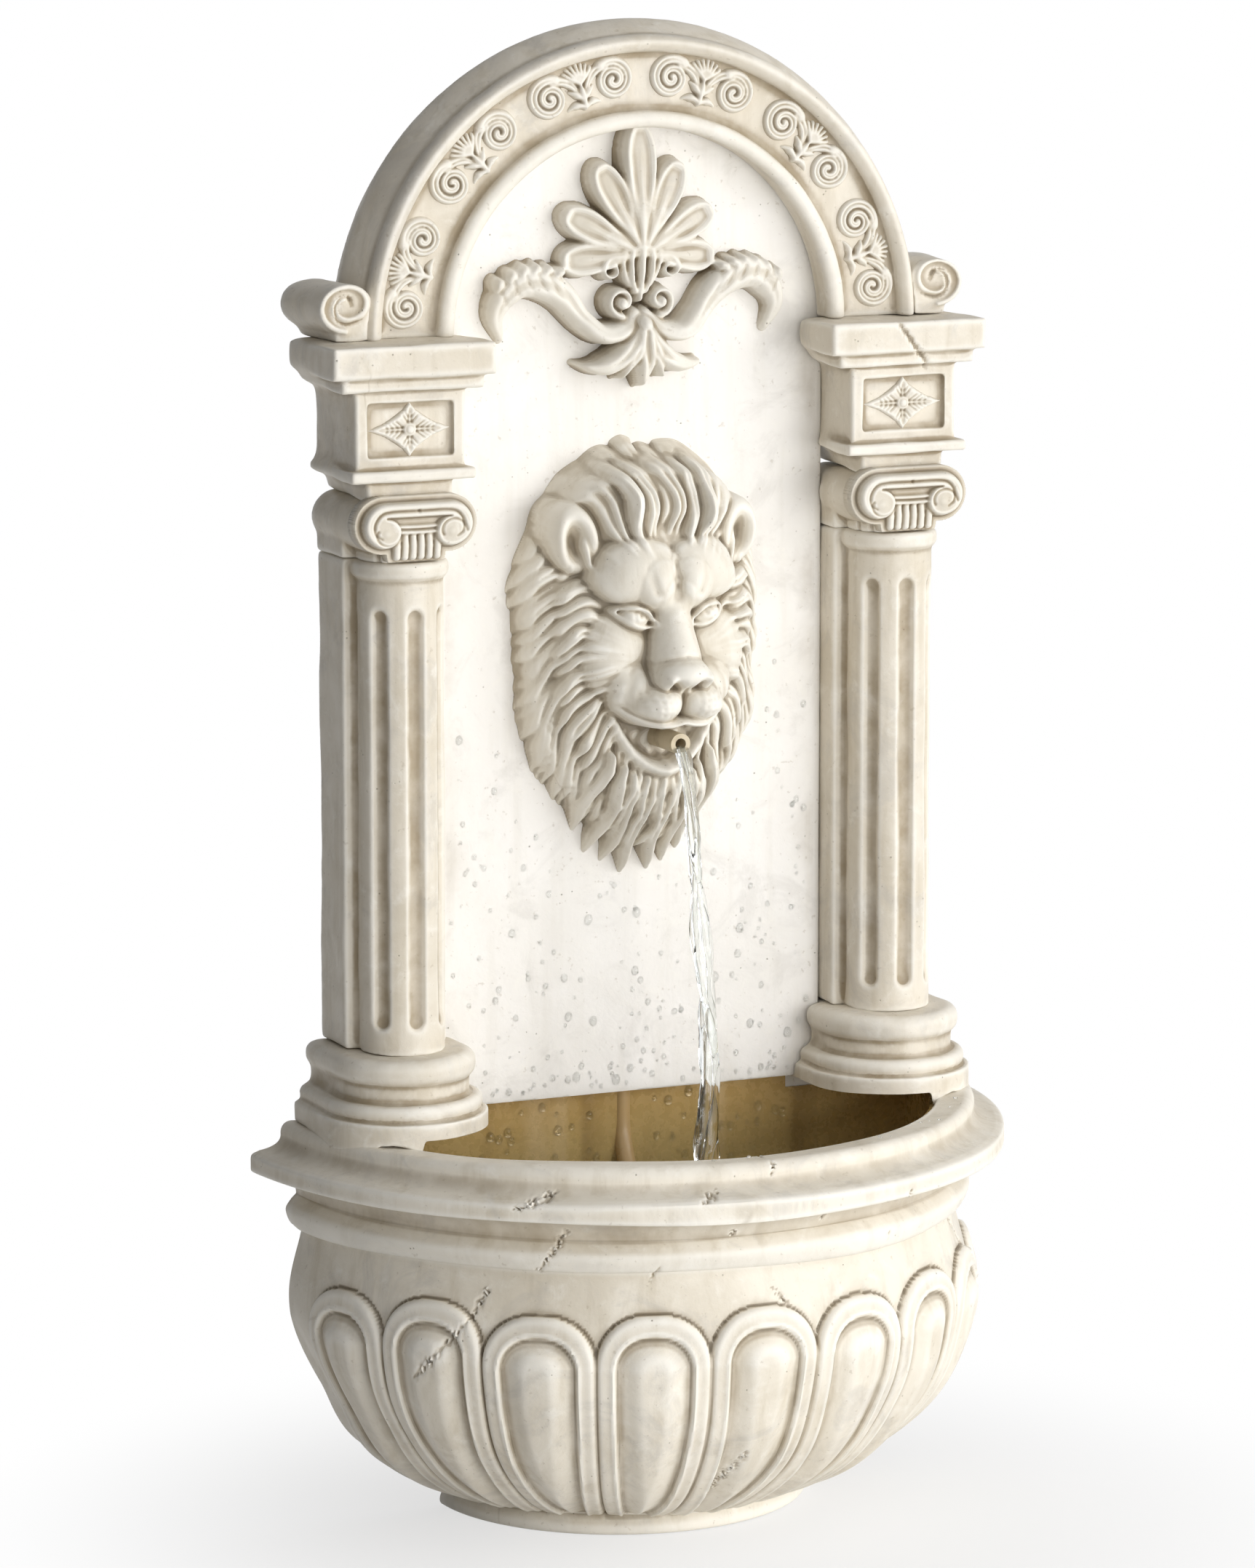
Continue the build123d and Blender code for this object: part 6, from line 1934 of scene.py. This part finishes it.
@dataclass
class Water:
    """The stream from the lion's mouth, the pool and the drops that splash about, in millimetres."""

    mouth_reach: float = 82.0
    mouth_height: float = 419.0
    pool_level: float = 150.0
    throw: float = 46.0
    pool_radius: float = 168.6
    pool_back: float = 11.4
    panel_drops: int = 220
    wall_drops: int = 70
    rim_drops: int = 26
    panel_half: float = 104.0
    panel_foot: float = 226.0
    splash: float = 230.0
    mask_middle: float = 462.0
    mask_half: Point = (84.0, 120.0)
    tub_face: float = 10.9
    rim_top: float = 219.0
    seed: int = 11

    def stream_point(self, share: Array) -> Array:
        """Find the stream's middle.

        Args:
            share: Shares of its fall.

        Returns:
            Rows of x, y and z in metres.
        """
        drop = (self.mouth_height - self.pool_level) * share ** 1.15
        reach = self.mouth_reach + self.throw * share ** 0.62
        x = 2.2 * np.sin(5.0 * share) * share
        return np.stack([x * MM, WALL - reach * MM, (self.mouth_height - drop) * MM], 1)

    def strand(self, name: str, phase: float, thick: Sequence[float], sway: float, twist: float) -> Piece:
        """Make one twisting strand of the stream.

        Args:
            name: The strand's name.
            phase: Its place round the stream, in radians.
            thick: Its radius down the fall.
            sway: How far it winds off the middle.
            twist: Turns down the fall.

        Returns:
            The strand, closed at both ends.
        """
        around, rows = 13, 110

        def place(column: Array, row: Array) -> Array:
            """Wrap the sheet round the stream's line."""
            share = row / (rows - 1)
            angle = 2 * math.pi * column / (around - 1)
            turn = phase + 2 * math.pi * twist * share
            beads = 1 + 0.20 * np.sin(34 * share + 3 * phase) + 0.12 * np.sin(71 * share + phase)
            radius = along(thick, share) * beads * np.where((row == 0) | (row == rows - 1), 0.02, 1)
            offset = sway * share ** 0.5
            centre = self.stream_point(share)
            centre[:, 0] += offset * np.cos(turn) * MM
            centre[:, 1] += 0.6 * offset * np.sin(turn) * MM
            flat = 0.6 + 0.25 * np.sin(9 * share + phase)
            centre[:, 0] += radius * np.cos(angle) * MM
            centre[:, 1] += radius * flat * np.sin(angle) * MM
            return centre

        piece = grid_sheet(name, around, rows, place)
        face_outwards(piece)
        with editing(piece):
            bpy.ops.mesh.region_to_loop()
            bpy.ops.mesh.edge_face_add()
        face_outwards(piece)
        return piece

    def stream(self, finish: Material) -> Piece:
        """Join three strands into the falling stream.

        Args:
            finish: The water.

        Returns:
            The stream.
        """
        strands = [self.strand("stream_a", 0.0, [3.6, 3.4, 4.4, 5.4, 7.0], 1.6, 1.6),
                   self.strand("stream_b", 2.2, [1.8, 2.4, 2.8, 3.4, 4.2], 5.0, 1.3),
                   self.strand("stream_c", 4.4, [1.4, 1.7, 2.2, 2.8, 3.6], 6.4, 1.9)]
        return settle(join(strands, "water_stream"), finish, angle=180)

    def pool(self, finish: Material) -> Piece:
        """Lay the rippled water surface in the tub.

        Args:
            finish: The water.

        Returns:
            The pool.
        """
        columns, rows = 97, 60
        fall = self.stream_point(np.array([1.0]))[0]

        def place(column: Array, row: Array) -> Array:
            """Spread the sheet over the half round, with rings about the stream."""
            radius = self.pool_back + (self.pool_radius - self.pool_back) * row / (rows - 1)
            angle = np.arccos(np.clip(self.pool_back / radius, -1, 1)) * (2 * column / (columns - 1) - 1)
            x, y = radius * np.sin(angle) * MM, WALL - radius * np.cos(angle) * MM
            away = np.hypot(x - fall[0], y - fall[1]) / MM
            rings = 1.1 * np.cos(away * 0.55) * np.exp(-away / 38)
            ripple = rings + 0.2 * np.sin(0.09 * x / MM) * np.cos(0.08 * y / MM)
            return np.stack([x, y, (self.pool_level + ripple) * MM], 1)

        piece = grid_sheet("water_pool", columns, rows, place)
        face_outwards(piece)
        finish_with(piece, "SOLIDIFY", thickness=2.5 * MM, offset=-1.0)
        return settle(piece, finish, angle=180)

    def drop_places(self) -> list[tuple[Vector, Vector, float]]:
        """Scatter drops on the panel, the tub's back wall and the rim.

        Returns:
            For each drop, its place, the way it faces and its radius in metres.
        """
        chance = np.random.default_rng(self.seed)
        drops = []
        out = Vector((0, -1, 0))
        while len(drops) < self.panel_drops:
            height = self.panel_foot + self.splash * chance.random() ** 1.6
            x = chance.uniform(-self.panel_half, self.panel_half)
            wide, tall = self.mask_half
            under_mask = wide * math.sqrt(max(0.0, 1 - ((height - self.mask_middle) / tall) ** 2))
            radius = chance.uniform(0.6, 1.8) * (1.4 if chance.random() < 0.2 else 1)
            if abs(x) >= under_mask:
                drops.append((Vector((x * MM, PANEL_FACE, height * MM)), out, radius * MM))
        for _ in range(self.wall_drops):
            x, height = chance.uniform(-95, 95), chance.uniform(156, 218)
            place = Vector((x * MM, WALL - self.tub_face * MM, height * MM))
            drops.append((place, out, chance.uniform(0.9, 2.6) * MM))
        for _ in range(self.rim_drops):
            angle = math.radians(chance.uniform(-20, 75))
            radius = chance.uniform(177, 190) * MM
            place = Vector((radius * math.sin(angle), WALL - radius * math.cos(angle), self.rim_top * MM))
            drops.append((place, Vector((0, 0, 1)), chance.uniform(0.6, 1.5) * MM))
        return drops

    def drops(self, finish: Material) -> Piece:
        """Model one drop and set its copies where they cling.

        Args:
            finish: The water.

        Returns:
            The joined drops.
        """
        deselect()
        bpy.ops.mesh.primitive_uv_sphere_add(segments=10, ring_count=6, radius=1)
        seed_drop = bpy.context.object
        shape = read_places(seed_drop)
        shape[:, 2] = np.where(shape[:, 2] < 0, shape[:, 2] * 0.25, shape[:, 2] * 0.62)
        write_places(seed_drop, shape)
        copies = []
        for place, facing, radius in self.drop_places():
            copy = bpy.data.objects.new("drop", seed_drop.data.copy())
            bpy.context.scene.collection.objects.link(copy)
            turn = np.array(facing.to_track_quat("Z", "Y").to_matrix())
            long_share = 1.25 if facing.y else 1.0
            points = shape * (radius, radius * long_share, radius)
            write_places(copy, points @ turn.T + np.array(place))
            copies.append(copy)
        bpy.data.objects.remove(seed_drop)
        return settle(join(copies, "water_drops"), finish, angle=180)

    def build(self) -> None:
        """Make all the water."""
        self.stream(WaterFinish("falling_water", waves=0.5).material())
        self.pool(WaterFinish().material())
        self.drops(WaterFinish("drop_water", bend=1.25).material())


@dataclass
class Fittings:
    """The pump, hose, fixings and cover, which keep their modelled shape and get their finish here."""

    finishes: Sequence[tuple[MouldedFinish | MetalFinish, Sequence[str]]] = (
        (MouldedFinish("black_moulding", srgb(26, 27, 28), srgb(48, 49, 49)),
         ("pump_body", "impeller_cover", "intake_strainer")),
        (MouldedFinish("black_rubber_skin", srgb(22, 22, 22), srgb(40, 39, 37), 0.62),
         ("cord_grommet", "suction_feet", "cable_gland", "shaft_bushes")),
        (MouldedFinish("grey_cover_skin", srgb(176, 172, 164), srgb(150, 146, 137), 0.5), ("rear_cover",)),
        (MouldedFinish("hose_skin", srgb(190, 160, 112), srgb(164, 134, 84), 0.34), ("supply_hose",)),
        (MouldedFinish("dial_skin", srgb(52, 92, 134), srgb(80, 116, 150), 0.4), ("flow_dial",)),
        (MouldedFinish("ferrite_skin", srgb(50, 50, 52), srgb(76, 76, 78), 0.5), ("impeller",)),
        (MouldedFinish("ceramic_skin", srgb(232, 230, 224), srgb(214, 212, 204), 0.2), ("impeller_shaft",)),
        (MouldedFinish("limed_spout", srgb(206, 192, 164), srgb(160, 142, 110), 0.5), ("spout_tube",)),
        (MetalFinish("zinc_plate", srgb(188, 190, 190), srgb(138, 138, 132)),
         ("rear_cover_screws", "joint_dowels", "hanger_plates", "hanger_screws", "hose_clamps")))

    def dress(self) -> None:
        """Give each remaining node its finish."""
        for finish, nodes in self.finishes:
            material = finish.material()
            for node in nodes:
                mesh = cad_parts[node].data
                mesh.materials.clear()
                mesh.materials.append(material)
                log.info("%s: dressed", node)


@dataclass
class Studio:
    """Pale floor, soft light and the photograph's camera, in metres."""

    image: tuple[int, int] = (1725, 2156)
    eye: Point = (-1.5254, -3.3148)
    eye_height: float = 1.0359
    yaw: float = 24.14
    pitch: float = 9.853
    focal_pixels: float = 9795.1
    sensor: float = 36.0
    floor_size: float = 120.0
    aim: Vector = Vector((0.0, 0.0, 0.42))
    bright_side: Sequence[float] = (0.74, -0.67, 0.04)
    dim: float = 0.02
    bright: float = 1.14
    bright_turn: Point = (-0.35, 0.9)
    air: Colour = (0.985, 0.99, 1.0, 1.0)
    shadow_reach: Point = (0.12, 0.42)
    shadow_white: float = 0.65

    def camera(self) -> None:
        """Stand the camera at the photograph's angle."""
        data = bpy.data.cameras.new("photo_camera")
        data.sensor_width = self.sensor
        data.lens = self.focal_pixels * self.sensor / max(self.image)
        data.clip_end = 200.0
        camera = bpy.data.objects.new("photo_camera", data)
        camera.location = (*self.eye, self.eye_height)
        camera.rotation_euler = (math.radians(90 - self.pitch), 0, -math.radians(self.yaw))
        bpy.context.scene.collection.objects.link(camera)
        bpy.context.scene.camera = camera

    def lamp(self, name: str, place: Sequence[float], size: float, power: float,
             colour: Sequence[float] = (1, 1, 1)) -> None:
        """Hang one soft square lamp that points at the fountain.

        Args:
            name: The lamp's name.
            place: Where it hangs.
            size: Length of its side.
            power: Its power in watts.
            colour: Its light's colour.
        """
        data = bpy.data.lights.new(name, "AREA")
        data.size = size
        data.energy = power
        data.color = colour
        lamp = bpy.data.objects.new(name, data)
        lamp.location = place
        lamp.rotation_euler = (self.aim - Vector(place)).to_track_quat("-Z", "Y").to_euler()
        bpy.context.scene.collection.objects.link(lamp)

    def white_to_eye(self, g: Nodes) -> Socket:
        """Tell which rays come from the eye, a mirror or glass.

        Args:
            g: The nodes to add to.

        Returns:
            1 for those rays, 0 for others.
        """
        rays = g.add("ShaderNodeLightPath").outputs
        seen = g.sums("MAXIMUM", rays["Is Camera Ray"], rays["Is Glossy Ray"])
        return g.sums("MAXIMUM", seen, rays["Is Transmission Ray"])

    def floor(self) -> None:
        """Lay a pale floor that keeps the shadow by the foot and is white further off."""
        deselect()
        bpy.ops.mesh.primitive_plane_add(size=self.floor_size, location=(0, 0, -0.0005))
        floor = bpy.context.object
        floor.name = "studio_floor"
        g = Graph("pale_floor")
        g.feed(Base_Color=srgb(246, 245, 243), Roughness=0.9, Specular_IOR_Level=0.1)
        away = g.add("ShaderNodeVectorMath", operation="LENGTH")
        g.join(g.places, away.inputs[0])
        far = g.span(away.outputs["Value"], *self.shadow_reach)
        pale = g.sums("ADD", g.times(far, 1 - self.shadow_white), self.shadow_white)
        share = g.times(pale, self.white_to_eye(g))
        g.show_mix(share, g.shader, g.add("ShaderNodeEmission"), "Material Output")
        floor.data.materials.append(g.material)

    def world(self) -> None:
        """Fill with soft light that is strongest from the front right, and show white behind."""
        world = bpy.data.worlds.new("studio_air")
        world.use_nodes = True
        bpy.context.scene.world = world
        g = Nodes(world.node_tree)
        facing = g.add("ShaderNodeVectorMath", operation="DOT_PRODUCT")
        g.join(g.add("ShaderNodeTexCoord").outputs["Generated"], facing.inputs[0])
        g.join(self.bright_side, facing.inputs[1])
        grade = g.wire(g.add("ShaderNodeMapRange"), Value=facing.outputs["Value"],
                       From_Min=self.bright_turn[0], From_Max=self.bright_turn[1],
                       To_Min=self.dim, To_Max=self.bright)
        ground = g.wire(g.tree.nodes["Background"], Color=self.air, Strength=grade.outputs["Result"])
        g.show_mix(self.white_to_eye(g), ground, g.add("ShaderNodeBackground"), "World Output")

    def build(self) -> None:
        """Set the whole studio."""
        self.camera()
        self.floor()
        self.world()
        self.lamp("key_lamp", (2.3, -2.5, 1.0), 2.4, 38, (1.0, 0.995, 0.985))
        self.lamp("low_lamp", (0.6, -2.3, 0.12), 1.4, 40)
        bpy.context.scene.view_settings.view_transform = "Standard"


def scroll_groove(s: int) -> Groove:
    """Give the curl cut into a corner scroll's face, open towards the arch."""
    curl = ((2.6, 2.4), (0.8, 6.2), (-4.6, 6.4), (-8.4, 1.0), (-7.0, -5.4), (-0.5, -9.0), (8.6, -6.6))
    return Groove([(s * (168 - 0.85 * x), 651 + 0.85 * z) for x, z in curl], 2.4, 1.9, 40.0, 0.15)


CRACK = Groove(((132, 639), (136, 631), (140, 626), (145, 619), (150, 614), (154, 607)), 2.2, 1.6, 62.0, 0.5)
CASTINGS = (
    # The panel gets painted shade, with some wash, along its borders with the arch and the columns.
    Casting("back_panel", 1.9 * MM, Softness.CRISP, 0.5 * MM, 0.15 * MM, wash_and_shade=panel_border_shade_and_wash),
    Casting("archivolt", 1.3 * MM, Softness.SOFT, reshape=trim_arch),
    *(Casting(f"{side}_{node}", voxel, softness, 1.6 * MM, reshape=reshape, grooves=grooves, melt=melt)
      for side, s in (("left", -1), ("right", 1))
      for node, voxel, softness, reshape, grooves, melt in (
          ("pilaster", 1.15 * MM, Softness.SOFT, None, (), 14),
          ("column_base", 1.0 * MM, Softness.SOFT, lift_base, (), 30),
          ("capital", 0.8 * MM, Softness.CRISP, flatten_capital, (), 24),
          ("entablature", 1.0 * MM, Softness.SOFT, None, (CRACK,) if s > 0 else (), 90),
          ("acroterion", 0.85 * MM, Softness.SOFT, flare_scroll, (scroll_groove(s),), 70))),
)


def main() -> None:
    """Build, dress and light the fountain."""
    logging.basicConfig(level=logging.INFO, format="%(name)s: %(message)s")
    panel_stone = StoneFinish("panel_stone", srgb(243, 240, 235), srgb(232, 228, 220), wash_share=0.6,
                              cloud_share=0.35, grey_share=0.20, gloss=0.62, cracks=0.0).material()
    stone = StoneFinish("cast_stone", srgb(224, 216, 201)).material()
    bowl_stone = StoneFinish("bowl_stone", srgb(232, 225, 211), wash_share=0.62, cloud_share=0.45).material()
    carved_stone = StoneFinish("carved_stone", srgb(214, 207, 193), wash_share=0.75,
                               cloud_share=0.4).material()
    lion_stone = StoneFinish("lion_stone", srgb(228, 222, 209), wash_share=0.62, cloud_share=0.3,
                             grey_share=0.2).material()
    for casting in CASTINGS:
        casting.build(panel_stone if casting.node == "back_panel" else stone)
    LionMask().build(lion_stone)
    PalmetteCrest().build(carved_stone)
    ArchScrolls().build(carved_stone)
    FriezeStars().build(carved_stone)
    CapitalFaces().build(carved_stone)
    Basin().build(bowl_stone)
    Liner().build(LinerFinish().material())
    Water().build()
    Fittings().dress()
    Studio().build()


if __name__ == "__main__":
    main()
